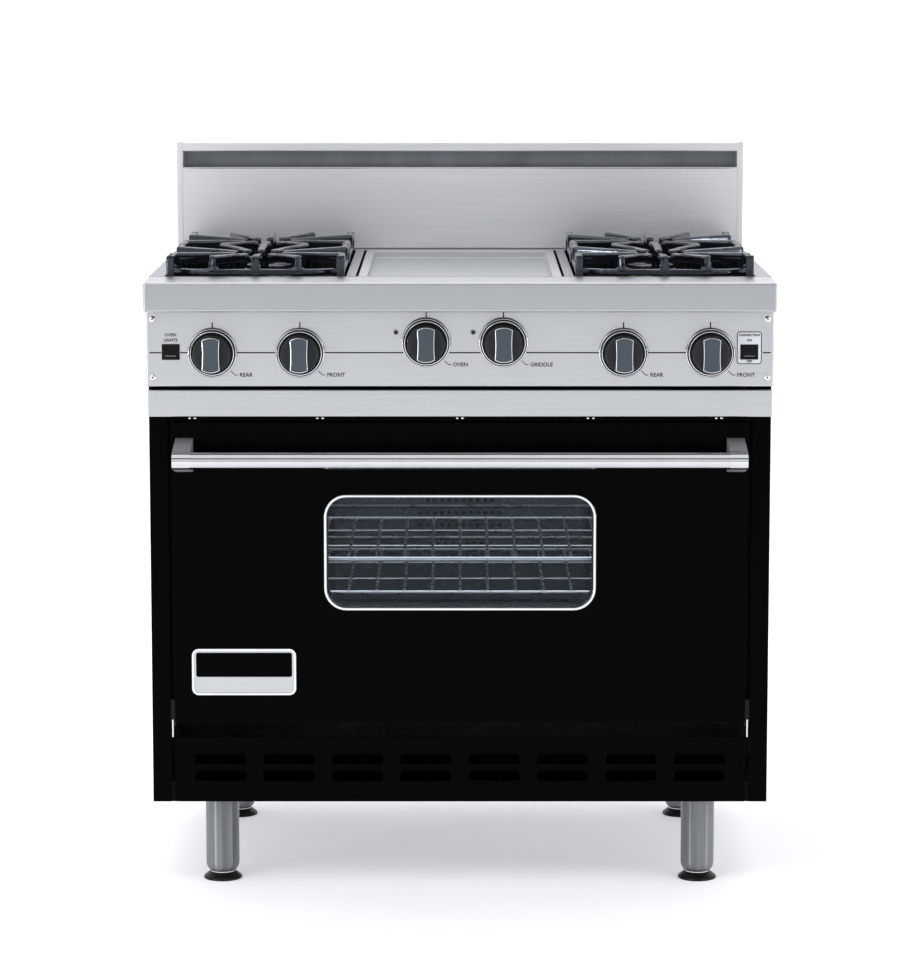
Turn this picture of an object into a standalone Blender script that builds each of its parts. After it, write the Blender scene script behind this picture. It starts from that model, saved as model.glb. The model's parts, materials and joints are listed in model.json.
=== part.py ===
"""A 36-inch freestanding gas range: four open burners, a centre griddle and one convection oven.

Metres, +Z up. The front faces -Y, and the origin is on the floor under the middle of the range's box.
"""
import math

import bmesh
import bpy
from mathutils import Matrix, Vector

# Overall size, and the front planes measured back from the ledge's front edge
WIDTH = 0.911
DEPTH = 0.732
HANDLE_PROUD = 0.019
PANEL_SETBACK = 0.047
DOOR_SETBACK = 0.058
STRIP_SETBACK = 0.062
BODY_SETBACK = 0.085

# Heights, stacked from the floor
LEG_HEIGHT = 0.130
KICK_HEIGHT = 0.0972
KICK_TO_DOOR = 0.0272
DOOR_HEIGHT = 0.4462
DOOR_TO_STRIP = 0.0078
STRIP_HEIGHT = 0.0393
STRIP_TO_PANEL = 0.0069
PANEL_HEIGHT = 0.112
LEDGE_HEIGHT = 0.0425
BACKGUARD_HEIGHT = 0.1704

# Sheet metal and the gap that touching pieces keep
SHEET = 0.0015
FIT = 0.0003
EDGE = 0.003
WELD = 1e-5

# Body
FLANGE = 0.027
PAN_LIP = 0.030
LEDGE_DEPTH = 0.110
LEDGE_ROUNDING = 0.005
BACKGUARD_DEPTH = 0.049
SLOT_MARGIN = 0.0102
SLOT_HEIGHT = 0.0265
SLOT_TO_TOP = 0.0142
SHIELD = 0.0015
LEG_INSET_X = 0.0985
LEG_INSET_Y = 0.060
LEG_SPREAD_Y = 0.420
LEG_RADIUS = 0.025
LEG_TAPER = 0.012
LEG_TIP_RADIUS = 0.020
FOOT_RADIUS = 0.02875
FOOT_NECK = 0.0195
FOOT_HEIGHT = 0.0105
FOOT_EDGE = 0.004
LEG_TO_FOOT = 0.0025
STEM_RADIUS = 0.008
STEM_LENGTH = 0.075

# Kick panel louvers
KICK_MARGIN = 0.0065
LOUVER_ROWS = 2
LOUVER_PITCH = 0.1016
LOUVER_WIDTH = 0.076
LOUVER_HEIGHT = 0.0178
LOUVER_SPACING = 0.0253
LOUVER_DROP = 0.0233

# Oven
CAVITY_SIDE = 0.073
CAVITY_DROP = 0.0156
CAVITY_LIFT = 0.0306
CAVITY_REAR = 0.105
LINER_WALL = 0.0015
DOOR_TO_OVEN = 0.010
FLANGE_DROP = 0.008
GASKET_WIDTH = 0.010
GASKET_INSET = 0.002
FLOOR_HEIGHT = 0.030
FLOOR_MARGIN = 0.012
BURNER_TUBE = 0.009
BAKE_HALF_WIDTH = 0.200
BAKE_MARGIN_Y = 0.080
BROIL_WIDTH = 0.420
BROIL_DEPTH = 0.260
BROIL_HEIGHT = 0.028
BAFFLE_WIDTH = 0.400
BAFFLE_HEIGHT = 0.260
BAFFLE_DEPTH = 0.055
INTAKE_RADIUS = 0.070
OUTLET_MARGIN = 0.012
OUTLET_HEIGHT = 0.180
FAN_RADIUS = 0.080
FAN_DEPTH = 0.030
FAN_HUB = 0.015
FAN_PLATE = 0.003
FAN_BLADE_LENGTH = 0.030
FAN_BLADES = 8
FAN_GAP = 0.010
SHAFT_RADIUS = 0.005
SHAFT_HOLE = 0.009
MOTOR_RADIUS = 0.045
MOTOR_LENGTH = 0.060
LAMP_RADIUS = 0.028
LAMP_HEIGHT = 0.022
LAMP_INSET = 0.0825
LAMP_RISE = 0.110
RACK_FIRST = 0.0972
RACK_SPACING = 0.0508
RACK_HEADROOM = 0.050
RACK_LEDGE = 0.012
RACK_LEDGE_HEIGHT = 0.006
GUIDE_WALL = 0.003
RACK_SIDE_ROOM = 0.002
LOWER_LEVEL = 1
UPPER_LEVEL = 2
RACK_FRONT_GAP = 0.028
RACK_BACK_GAP = 0.003
RACK_THICKNESS = 0.006
RACK_WIRE = 0.006
RACK_PITCH = 0.0405

# Door
DOOR_SIDE_GAP = 0.0085
DOOR_SKIN_DEPTH = 0.026
DOOR_LINER_DEPTH = 0.0107
DOOR_LINER_INSET = 0.002
WINDOW_WIDTH = 0.388
WINDOW_HEIGHT = 0.161
WINDOW_RADIUS = 0.029
WINDOW_LIFT = 0.174
TRIM_WIDTH = 0.005
TRIM_DEPTH = 0.003
GLASS_LAP = 0.020
GLASS = 0.004
HINGE_LIFT = 0.0096
HINGE_ROOM = 0.0005
HINGE_TO_REAR = 0.005
HINGE_PIN = 0.004
HINGE_PIN_LENGTH = 0.016
HINGE_HEIGHT = 0.040
HANDLE_RADIUS = 0.0127
HANDLE_NOSE = 0.0119
HANDLE_DROP = 0.0476
HANDLE_BRACKET = 0.030
HANDLE_BRACKET_HEIGHT = 0.050
HANDLE_INSET = 0.005

# Control panel
LEFT_KNOBS = {"rear_left": 0.0965, "front_left": 0.2235}
RIGHT_KNOBS = {"rear_right": 0.2185, "front_right": 0.0925}
CENTRE_KNOBS = {"oven": -0.049, "griddle": 0.063}
KNOB_LIFT = 0.0494
CENTRE_KNOB_RISE = 0.015
KNOB_RADIUS = 0.0303
KNOB_DEPTH = 0.018
KNOB_SKIRT_RADIUS = 0.034
KNOB_SKIRT = 0.003
KNOB_STANDOFF = 0.010
KNOB_EDGE = 0.003
GRIP_WIDTH = 0.022
GRIP_DEPTH = 0.012
GRIP_LENGTH = 0.054
SPINDLE_RADIUS = 0.004
SPINDLE_HOLE = 0.006
MANIFOLD_RADIUS = 0.011
MANIFOLD_BACK = 0.034
VALVE_RADIUS = 0.012
SWITCH_INSET = 0.036
SWITCH_LIFT = 0.0508
SWITCH_WIDTH = 0.0244
SWITCH_HEIGHT = 0.021
SWITCH_DEPTH = 0.010
SWITCH_PROUD = 0.003
SWITCH_ROOM = 0.002
SWITCH_TILT = 8.0

# Cooktop
RIM = 0.022
WELL_DEPTH = 0.035
DECK_FLOOR = 0.003
WELL_FRONT = 0.004
WELL_REAR = 0.0295
GRIDDLE_WIDTH = 0.2995
GRIDDLE_RIM = 0.014
GRIDDLE_RIM_HEIGHT = 0.012
GRIDDLE_PLATE = 0.014
GRIDDLE_GAP = 0.0035
GRIDDLE_LEDGE = 0.025
DIVIDER = 0.0135
BURNER_FLANGE = 0.048
BURNER_HEAD = 0.040
BURNER_CAP = 0.034
BURNER_THROAT = 0.018
BURNER_BASE = 0.005
BURNER_RISE = 0.012
BURNER_CAP_RISE = 0.009
BURNER_TAIL = 0.022
THROAT_ROOM = 0.004
FRAME_RAIL = 0.024
FRAME_HEIGHT = 0.006
GRIDDLE_TUBE_SPREAD = 0.060
TRAY_MARGIN = 0.0085
TRAY_DEPTH = 0.450
TRAY_HEIGHT = 0.030
STRIP_THICK = 0.008
STRIP_ROUNDING = 0.002

# Grates
GRATE_SIDE_ROOM = 0.0025
GRATE_END_ROOM = 0.0053
GRATE_RISE = 0.030
GRATE_BAR = 0.0115
GRATE_FINGER = 0.014
GRATE_TIP_DROP = 0.003
GRATE_EYE = 0.039
GRATE_POST_X = 0.062
GRATE_SIDE_Y = 0.062
GRATE_RING = 0.010
GRATE_RING_LIFT = 0.010
GRATE_CORNER = 0.060
RING_INSET = 0.0006
TURN_ROOM = 0.0025

# Places worked out from the sizes above
HALF = WIDTH / 2
REAR_Y = DEPTH / 2
LEDGE_Y = HANDLE_PROUD - DEPTH / 2
PANEL_Y = LEDGE_Y + PANEL_SETBACK
DOOR_Y = LEDGE_Y + DOOR_SETBACK
STRIP_Y = LEDGE_Y + STRIP_SETBACK
BODY_Y = LEDGE_Y + BODY_SETBACK
INNER = HALF - SHEET - FIT
BACK_Y = REAR_Y - SHEET - FIT
KICK_TOP = LEG_HEIGHT + KICK_HEIGHT
DOOR_Z = KICK_TOP + KICK_TO_DOOR
DOOR_TOP = DOOR_Z + DOOR_HEIGHT
STRIP_Z = DOOR_TOP + DOOR_TO_STRIP
STRIP_TOP = STRIP_Z + STRIP_HEIGHT
PANEL_Z = STRIP_TOP + STRIP_TO_PANEL
PANEL_TOP = PANEL_Z + PANEL_HEIGHT
LEDGE_Z = PANEL_TOP + FIT
TOP = LEDGE_Z + LEDGE_HEIGHT
LEDGE_BACK = LEDGE_Y + LEDGE_DEPTH
BACKGUARD_Y = REAR_Y - BACKGUARD_DEPTH
BACKGUARD_TOP = TOP + FIT + BACKGUARD_HEIGHT
DOOR_BACK = DOOR_Y + DOOR_SKIN_DEPTH + FIT + DOOR_LINER_DEPTH
OVEN_Y = DOOR_BACK + DOOR_TO_OVEN
CAVITY_BACK = REAR_Y - CAVITY_REAR
CAVITY_DEPTH = CAVITY_BACK - OVEN_Y
CAVITY_Z = DOOR_Z + CAVITY_LIFT
CAVITY_TOP = DOOR_TOP - CAVITY_DROP
CAVITY_HEIGHT = CAVITY_TOP - CAVITY_Z
CAVITY_HALF = HALF - CAVITY_SIDE
CAVITY_WIDTH = 2 * CAVITY_HALF
RACK_DEPTH = CAVITY_DEPTH - RACK_FRONT_GAP - BAFFLE_DEPTH - RACK_BACK_GAP
DOOR_HALF = HALF - FLANGE - DOOR_SIDE_GAP
HINGE_Y = DOOR_BACK - HINGE_TO_REAR
HINGE_Z = DOOR_Z + HINGE_LIFT
FAN_Z = (CAVITY_Z + CAVITY_TOP) / 2
KNOB_Z = PANEL_Z + KNOB_LIFT
VALVE_Y = BODY_Y
MANIFOLD_Y = VALVE_Y + MANIFOLD_BACK
SWITCH_Z = PANEL_Z + SWITCH_LIFT
SWITCH_X = HALF - SWITCH_INSET
DECK_Y = LEDGE_BACK + FIT
WELL_Z = TOP - WELL_DEPTH
WELL_START = DECK_Y + WELL_FRONT
WELL_END = BACKGUARD_Y - WELL_REAR
GRIDDLE_HALF = GRIDDLE_WIDTH / 2
WELL_INNER = GRIDDLE_HALF + GRIDDLE_GAP + DIVIDER
WELL_OUTER = HALF - RIM
BURNER_X = (WELL_INNER + WELL_OUTER) / 2
GRATE_WIDTH = WELL_OUTER - WELL_INNER - 2 * GRATE_SIDE_ROOM
GRATE_DEPTH = (WELL_END - WELL_START) / 2 - GRATE_END_ROOM - FIT
GRATE_SPLIT = (WELL_START + WELL_END) / 2
BURNER_YS = {"front": GRATE_SPLIT - GRATE_DEPTH / 2 - FIT, "rear": GRATE_SPLIT + GRATE_DEPTH / 2 + FIT}
SIDE_SIGNS = {"left": -1, "right": 1}

ALIGNED = 0.9
TURNS = 20
QUARTER_STEPS = 4
FACINGS = {"top": (0, 0, 0), "front": (math.pi / 2, 0, 0), "side": (math.pi / 2, 0, math.pi / 2)}
OPEN_SIDES = {
    "front": Vector((0, -1, 0)),
    "back": Vector((0, 1, 0)),
    "top": Vector((0, 0, 1)),
    "bottom": Vector((0, 0, -1)),
}


def start_scene():
    """Empty the scene and give the range its own collections."""
    for old in list(bpy.data.objects):
        bpy.data.objects.remove(old, do_unlink=True)
    made = []
    for title in ("gas_range", "gas_range_cutters"):
        collection = bpy.data.collections.new(title)
        bpy.context.scene.collection.children.link(collection)
        made.append(collection)
    return made


PARTS, CUTTERS = start_scene()


def finish(name, colour, roughness, metallic):
    """A plain material with the piece's own colour."""
    made = bpy.data.materials.new(name)
    made.use_nodes = True
    shader = made.node_tree.nodes["Principled BSDF"]
    shader.inputs["Base Color"].default_value = (*colour, 1)
    shader.inputs["Roughness"].default_value = roughness
    shader.inputs["Metallic"].default_value = metallic
    return made


ENAMEL = finish("black_enamel", (0.008, 0.008, 0.009), 0.12, 0.0)
STAINLESS = finish("stainless_steel", (0.60, 0.62, 0.64), 0.28, 1.0)
CHROME = finish("chrome", (0.80, 0.81, 0.82), 0.08, 1.0)
IRON = finish("cast_iron_enamel", (0.012, 0.012, 0.013), 0.30, 0.0)
PLASTIC = finish("black_plastic", (0.03, 0.03, 0.035), 0.35, 0.0)
TINTED = finish("tinted_glass", (0.05, 0.06, 0.07), 0.04, 0.0)
PORCELAIN = finish("oven_porcelain", (0.06, 0.07, 0.09), 0.25, 0.0)
GALVANISED = finish("galvanised_steel", (0.45, 0.46, 0.47), 0.45, 1.0)
BRASS = finish("brass", (0.60, 0.42, 0.16), 0.35, 1.0)
RUBBER = finish("black_rubber", (0.02, 0.02, 0.02), 0.70, 0.0)


def place(name, data, surface, location=(0, 0, 0), rotation=(0, 0, 0)):
    """Link a mesh or a curve as one named piece."""
    data.materials.clear()
    data.materials.append(surface)
    piece = bpy.data.objects.new(name, data)
    piece.location = location
    piece.rotation_euler = rotation
    PARTS.objects.link(piece)
    return piece


def box_mesh(size):
    """A closed box about its own centre."""
    shape = bmesh.new()
    bmesh.ops.create_cube(shape, size=1.0)
    bmesh.ops.scale(shape, vec=size, verts=shape.verts)
    shape.normal_update()
    return shape


def mesh_of(name, shape):
    """Turn a bmesh into a mesh and free it."""
    mesh = bpy.data.meshes.new(name)
    shape.to_mesh(mesh)
    shape.free()
    return mesh


def round_edges(piece, width):
    """Round a piece's sharp edges."""
    modifier = piece.modifiers.new("Rounding", "BEVEL")
    modifier.width = width
    modifier.segments = 2


def block(name, low, high, surface, rounding=0.0):
    """A solid box between two corners."""
    low = Vector(low)
    high = Vector(high)
    piece = place(name, mesh_of(name, box_mesh(high - low)), surface, (low + high) / 2)
    if rounding:
        round_edges(piece, rounding)
    return piece


def shell(name, low, high, open_side, wall, surface, rounding=0.0):
    """A sheet box between two corners, open on one side, with its wall inside those corners."""
    low = Vector(low)
    high = Vector(high)
    shape = box_mesh(high - low)
    away = OPEN_SIDES[open_side]
    lid = [face for face in shape.faces if face.normal.dot(away) > ALIGNED]
    bmesh.ops.delete(shape, geom=lid, context="FACES")
    piece = place(name, mesh_of(name, shape), surface, (low + high) / 2)
    if rounding:
        round_edges(piece, rounding)
    modifier = piece.modifiers.new("Wall", "SOLIDIFY")
    modifier.thickness = wall
    modifier.offset = -1.0
    modifier.use_even_offset = True
    return piece


def turned(name, profile, surface, location, facing="top", steps=TURNS, closed=False):
    """A body of revolution; the profile of radius and height runs down its outer side."""
    shape = bmesh.new()
    rings = [shape.verts.new((radius, 0, height)) for radius, height in profile]
    pairs = list(zip(rings, rings[1:]))
    if closed:
        pairs.append((rings[-1], rings[0]))
    for pair in pairs:
        shape.edges.new(pair)
    piece = place(name, mesh_of(name, shape), surface, location, FACINGS[facing])
    modifier = piece.modifiers.new("Turning", "SCREW")
    modifier.steps = steps
    modifier.render_steps = steps
    modifier.use_merge_vertices = True
    modifier.merge_threshold = WELD
    modifier.use_smooth_shade = False
    return piece


def rod(name, start, end, radius, surface, steps=TURNS):
    """A straight round bar between two points."""
    start = Vector(start)
    run = Vector(end) - start
    shape = bmesh.new()
    bmesh.ops.create_cone(
        shape, cap_ends=True, segments=steps, radius1=radius, radius2=radius, depth=run.length
    )
    piece = place(name, mesh_of(name, shape), surface, start + run / 2)
    piece.rotation_euler = run.to_track_quat("Z", "Y").to_euler()
    return piece


def bake(piece):
    """Give a piece the welded mesh of its curve or modifiers, keeping its place."""
    bpy.context.view_layer.update()
    graph = bpy.context.evaluated_depsgraph_get()
    mesh = bpy.data.meshes.new_from_object(piece.evaluated_get(graph))
    shape = bmesh.new()
    shape.from_mesh(mesh)
    bmesh.ops.remove_doubles(shape, verts=shape.verts, dist=WELD)
    bmesh.ops.recalc_face_normals(shape, faces=shape.faces)
    shape.to_mesh(mesh)
    shape.free()
    name = piece.name
    surface = piece.data.materials[0]
    matrix = piece.matrix_world.copy()
    bpy.data.objects.remove(piece, do_unlink=True)
    made = place(name, mesh, surface)
    made.matrix_world = matrix
    return made


def plate(name, outlines, thickness, surface, centre, facing="top", turn=0.0):
    """A flat plate: the first outline is its edge, the others are holes."""
    curve = bpy.data.curves.new(name, "CURVE")
    curve.dimensions = "2D"
    curve.fill_mode = "BOTH"
    curve.extrude = thickness / 2
    for outline in outlines:
        spline = curve.splines.new("POLY")
        spline.points.add(len(outline) - 1)
        for point, (across, up) in zip(spline.points, outline):
            point.co = (across, up, 0, 1)
        spline.use_cyclic_u = True
    lean, roll, yaw = FACINGS[facing]
    return bake(place(name, curve, surface, centre, (lean, roll, yaw + turn)))


def tube(name, points, radius, surface):
    """A round tube along straight runs, with closed ends."""
    curve = bpy.data.curves.new(name, "CURVE")
    curve.dimensions = "3D"
    curve.bevel_depth = radius
    curve.bevel_resolution = 2
    curve.use_fill_caps = True
    spline = curve.splines.new("POLY")
    spline.points.add(len(points) - 1)
    for point, spot in zip(spline.points, points):
        point.co = (*spot, 1)
    return bake(place(name, curve, surface))


def combine(base, tools, operation):
    """Join pieces to a base, or cut them out of it, and leave one plain mesh."""
    base = bake(base)
    tools = [bake(tool) for tool in tools]
    for tool in tools:
        PARTS.objects.unlink(tool)
        CUTTERS.objects.link(tool)
        tool.hide_render = True
        tool.display_type = "WIRE"
        modifier = base.modifiers.new(operation.title(), "BOOLEAN")
        modifier.operation = operation
        modifier.object = tool
    whole = bake(base)
    for tool in tools:
        bpy.data.objects.remove(tool, do_unlink=True)
    return whole


def join(base, *tools):
    return combine(base, tools, "UNION")


def cut(base, *tools):
    return combine(base, tools, "DIFFERENCE")


def rectangle(width, height, centre=(0, 0)):
    """The corners of a rectangle, in order."""
    across, up = centre
    half_w = width / 2
    half_h = height / 2
    signs = ((-1, -1), (1, -1), (1, 1), (-1, 1))
    return [(across + sx * half_w, up + sy * half_h) for sx, sy in signs]


def round_rectangle(width, height, radius, centre=(0, 0)):
    """A rectangle whose corners are quarter circles."""
    points = []
    corners = rectangle(width - 2 * radius, height - 2 * radius, centre)
    for index, (across, up) in enumerate(corners):
        start = math.pi + index * math.pi / 2
        for step in range(QUARTER_STEPS + 1):
            angle = start + step * math.pi / 2 / QUARTER_STEPS
            points.append((across + radius * math.cos(angle), up + radius * math.sin(angle)))
    return points


def carry(name, place_on_axis, pieces):
    """Hang pieces on an empty that sits on their joint's axis."""
    pivot = bpy.data.objects.new(name, None)
    pivot.location = place_on_axis
    PARTS.objects.link(pivot)
    bpy.context.view_layer.update()
    for piece in pieces:
        piece.parent = pivot
        piece.matrix_parent_inverse = Matrix.Translation(pivot.location).inverted()


def body_panels():
    """Base pan, sides, back, heat shield, kick panel, ledge and backguard."""
    front = BODY_Y + SHEET + FIT
    pan_top = LEG_HEIGHT + PAN_LIP
    shell("base_pan", (-INNER, front, LEG_HEIGHT), (INNER, BACK_Y, pan_top), "top", SHEET, GALVANISED)
    middle = (LEG_HEIGHT + PANEL_TOP) / 2
    for side, sign in SIDE_SIGNS.items():
        outline = [
            (sign * HALF, BODY_Y),
            (sign * HALF, BACK_Y),
            (sign * (HALF - SHEET), BACK_Y),
            (sign * (HALF - SHEET), BODY_Y + SHEET),
            (sign * (HALF - FLANGE), BODY_Y + SHEET),
            (sign * (HALF - FLANGE), BODY_Y),
        ]
        plate(f"{side}_side_panel", [outline], PANEL_TOP - LEG_HEIGHT, ENAMEL, (0, 0, middle))
    block("back_panel", (-HALF, REAR_Y - SHEET, LEG_HEIGHT), (HALF, REAR_Y, TOP), GALVANISED)
    block("heat_shield", (-INNER, front, DOOR_TOP), (INNER, BACK_Y, DOOR_TOP + SHIELD), GALVANISED)
    shell(
        "landing_ledge",
        (-HALF, LEDGE_Y, LEDGE_Z),
        (HALF, LEDGE_BACK, TOP),
        "back",
        SHEET,
        STAINLESS,
        LEDGE_ROUNDING,
    )
    kick_panel()
    backguard()


def kick_panel():
    """The louvered panel under the door."""
    width = WIDTH - 2 * FLANGE - 2 * KICK_MARGIN
    outlines = [rectangle(width, KICK_HEIGHT)]
    first_row = KICK_HEIGHT / 2 - LOUVER_DROP - LOUVER_HEIGHT / 2
    columns = int(width / LOUVER_PITCH)
    for row in range(LOUVER_ROWS):
        for column in range(columns):
            across = (column - (columns - 1) / 2) * LOUVER_PITCH
            spot = (across, first_row - row * LOUVER_SPACING)
            outlines.append(rectangle(LOUVER_WIDTH, LOUVER_HEIGHT, spot))
    centre = (0, BODY_Y + SHEET / 2, LEG_HEIGHT + KICK_HEIGHT / 2)
    plate("kick_panel", outlines, SHEET, ENAMEL, centre, "front")


def backguard():
    """The low stainless back with its flue slot."""
    body = shell(
        "backguard",
        (-HALF, BACKGUARD_Y, TOP + FIT),
        (HALF, REAR_Y, BACKGUARD_TOP),
        "bottom",
        SHEET,
        STAINLESS,
        EDGE,
    )
    slot_top = BACKGUARD_TOP - SLOT_TO_TOP
    reach = HALF - SLOT_MARGIN
    low = (-reach, BACKGUARD_Y - SHEET, slot_top - SLOT_HEIGHT)
    cut(body, block("flue_slot", low, (reach, BACKGUARD_Y + 2 * SHEET, slot_top), STAINLESS))


def legs():
    """Four tube legs, each with a levelling foot screwed into it."""
    tip = FOOT_HEIGHT + LEG_TO_FOOT
    stem_top = FOOT_HEIGHT + STEM_LENGTH
    bore = STEM_RADIUS + FIT
    leg_profile = [
        (0, LEG_HEIGHT - FIT),
        (LEG_RADIUS, LEG_HEIGHT - FIT),
        (LEG_RADIUS, tip + LEG_TAPER),
        (LEG_TIP_RADIUS, tip),
        (bore, tip),
        (bore, stem_top + FIT),
        (0, stem_top + FIT),
    ]
    foot_profile = [
        (0, stem_top),
        (STEM_RADIUS, stem_top),
        (STEM_RADIUS, FOOT_HEIGHT),
        (FOOT_NECK, FOOT_HEIGHT),
        (FOOT_RADIUS, FOOT_EDGE),
        (FOOT_RADIUS, 0),
        (0, 0),
    ]
    front_y = BODY_Y + LEG_INSET_Y
    rows = {"front": front_y, "rear": front_y + LEG_SPREAD_Y}
    for row, y in rows.items():
        for side, sign in SIDE_SIGNS.items():
            spot = (sign * (HALF - LEG_INSET_X), y, 0)
            turned(f"leg_{row}_{side}", leg_profile, STAINLESS, spot)
            turned(f"foot_{row}_{side}", foot_profile, RUBBER, spot)


def oven():
    """The oven cavity and what is fixed inside it or behind it."""
    wall = LINER_WALL
    liner = shell(
        "oven_liner",
        (-CAVITY_HALF - wall, OVEN_Y, CAVITY_Z - wall),
        (CAVITY_HALF + wall, CAVITY_BACK + wall, CAVITY_TOP + wall),
        "front",
        wall,
        PORCELAIN,
    )
    face_low = DOOR_Z - FLANGE_DROP
    face_high = DOOR_TOP - FIT
    face_z = (face_low + face_high) / 2
    mouth = (0, (CAVITY_Z + CAVITY_TOP) / 2 - face_z)
    face = [rectangle(2 * INNER, face_high - face_low), rectangle(CAVITY_WIDTH, CAVITY_HEIGHT, mouth)]
    frame = plate("oven_face", face, wall, PORCELAIN, (0, OVEN_Y + wall / 2, face_z), "front")
    hole_end = (0, CAVITY_BACK + 2 * wall, FAN_Z)
    hole = rod("shaft_hole", (0, CAVITY_BACK - wall, FAN_Z), hole_end, SHAFT_HOLE, PORCELAIN)
    cut(join(liner, frame), hole)

    seal = []
    for margin in (GASKET_INSET + GASKET_WIDTH, GASKET_INSET):
        seal.append(rectangle(CAVITY_WIDTH + 2 * margin, CAVITY_HEIGHT + 2 * margin))
    seal_spot = (0, DOOR_BACK + DOOR_TO_OVEN / 2, FAN_Z)
    plate("door_gasket", seal, DOOR_TO_OVEN - 2 * FIT, RUBBER, seal_spot, "front")

    reach = CAVITY_HALF - FLOOR_MARGIN
    shell(
        "oven_floor",
        (-reach, OVEN_Y + FLOOR_MARGIN, CAVITY_Z + FIT),
        (reach, CAVITY_BACK - FLOOR_MARGIN, CAVITY_Z + FLOOR_HEIGHT),
        "bottom",
        SHEET,
        PORCELAIN,
    )
    tube_z = CAVITY_Z + FIT + BURNER_TUBE
    tube_front = OVEN_Y + BAKE_MARGIN_Y
    tube_back = CAVITY_BACK - BAKE_MARGIN_Y
    loop = [
        (-BAKE_HALF_WIDTH, tube_back, tube_z),
        (-BAKE_HALF_WIDTH, tube_front, tube_z),
        (BAKE_HALF_WIDTH, tube_front, tube_z),
        (BAKE_HALF_WIDTH, tube_back, tube_z),
    ]
    tube("bake_burner", loop, BURNER_TUBE, GALVANISED)
    middle_y = (OVEN_Y + CAVITY_BACK) / 2
    shell(
        "broil_burner",
        (-BROIL_WIDTH / 2, middle_y - BROIL_DEPTH / 2, CAVITY_TOP - FIT - BROIL_HEIGHT),
        (BROIL_WIDTH / 2, middle_y + BROIL_DEPTH / 2, CAVITY_TOP - FIT),
        "bottom",
        SHEET,
        GALVANISED,
        EDGE,
    )
    dome = [(LAMP_RADIUS * math.sin(a), LAMP_HEIGHT * math.cos(a)) for a in quarter_angles()]
    lamp_spot = (CAVITY_HALF - LAMP_INSET, CAVITY_BACK - FIT, FAN_Z + LAMP_RISE)
    turned("oven_lamp", dome + [(0, 0)], TINTED, lamp_spot, "front")
    convection()
    racks()


def quarter_angles():
    """Angles from the pole of a dome down to its rim."""
    return [step * math.pi / 2 / QUARTER_STEPS for step in range(QUARTER_STEPS + 1)]


def convection():
    """The fan baffle, the fan wheel on its shaft and the motor behind the cavity."""
    front = CAVITY_BACK - BAFFLE_DEPTH
    low = (-BAFFLE_WIDTH / 2, front, FAN_Z - BAFFLE_HEIGHT / 2)
    high = (BAFFLE_WIDTH / 2, CAVITY_BACK - FIT, FAN_Z + BAFFLE_HEIGHT / 2)
    cover = shell("fan_baffle", low, high, "back", SHEET, PORCELAIN)
    intake = rod("intake", (0, front - SHEET, FAN_Z), (0, front + 2 * SHEET, FAN_Z), INTAKE_RADIUS, PORCELAIN)
    vents = block(
        "side_vents",
        (-BAFFLE_WIDTH, front + OUTLET_MARGIN, FAN_Z - OUTLET_HEIGHT / 2),
        (BAFFLE_WIDTH, CAVITY_BACK - OUTLET_MARGIN, FAN_Z + OUTLET_HEIGHT / 2),
        PORCELAIN,
    )
    cut(cover, intake, vents)

    tail = FAN_GAP + LINER_WALL
    spot = (0, CAVITY_BACK - FAN_GAP, FAN_Z)
    hub = [
        (0, FAN_DEPTH),
        (FAN_HUB, FAN_DEPTH),
        (FAN_HUB, FAN_PLATE),
        (FAN_RADIUS, FAN_PLATE),
        (FAN_RADIUS, 0),
        (SHAFT_RADIUS, 0),
        (SHAFT_RADIUS, -tail),
        (0, -tail),
    ]
    wheel = turned("fan_wheel", hub, GALVANISED, spot, "front")
    blades = []
    blade_depth = FAN_DEPTH - FAN_PLATE / 2
    blade_y = CAVITY_BACK - FAN_GAP - FAN_PLATE / 2 - blade_depth / 2
    for index in range(FAN_BLADES):
        turn = Matrix.Rotation(2 * math.pi * index / FAN_BLADES, 2)
        corners = rectangle(FAN_BLADE_LENGTH, SHEET, (FAN_RADIUS - FAN_BLADE_LENGTH / 2 - SHEET, 0))
        outline = [tuple(turn @ Vector(corner)) for corner in corners]
        blade = plate(f"blade_{index}", [outline], blade_depth, GALVANISED, (0, blade_y, FAN_Z), "front")
        blades.append(blade)
    join(wheel, *blades)
    motor_y = CAVITY_BACK + LINER_WALL + FIT
    motor_end = (0, motor_y + MOTOR_LENGTH, FAN_Z)
    motor = rod("fan_motor", (0, motor_y, FAN_Z), motor_end, MOTOR_RADIUS, GALVANISED)
    round_edges(motor, EDGE)


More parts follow.
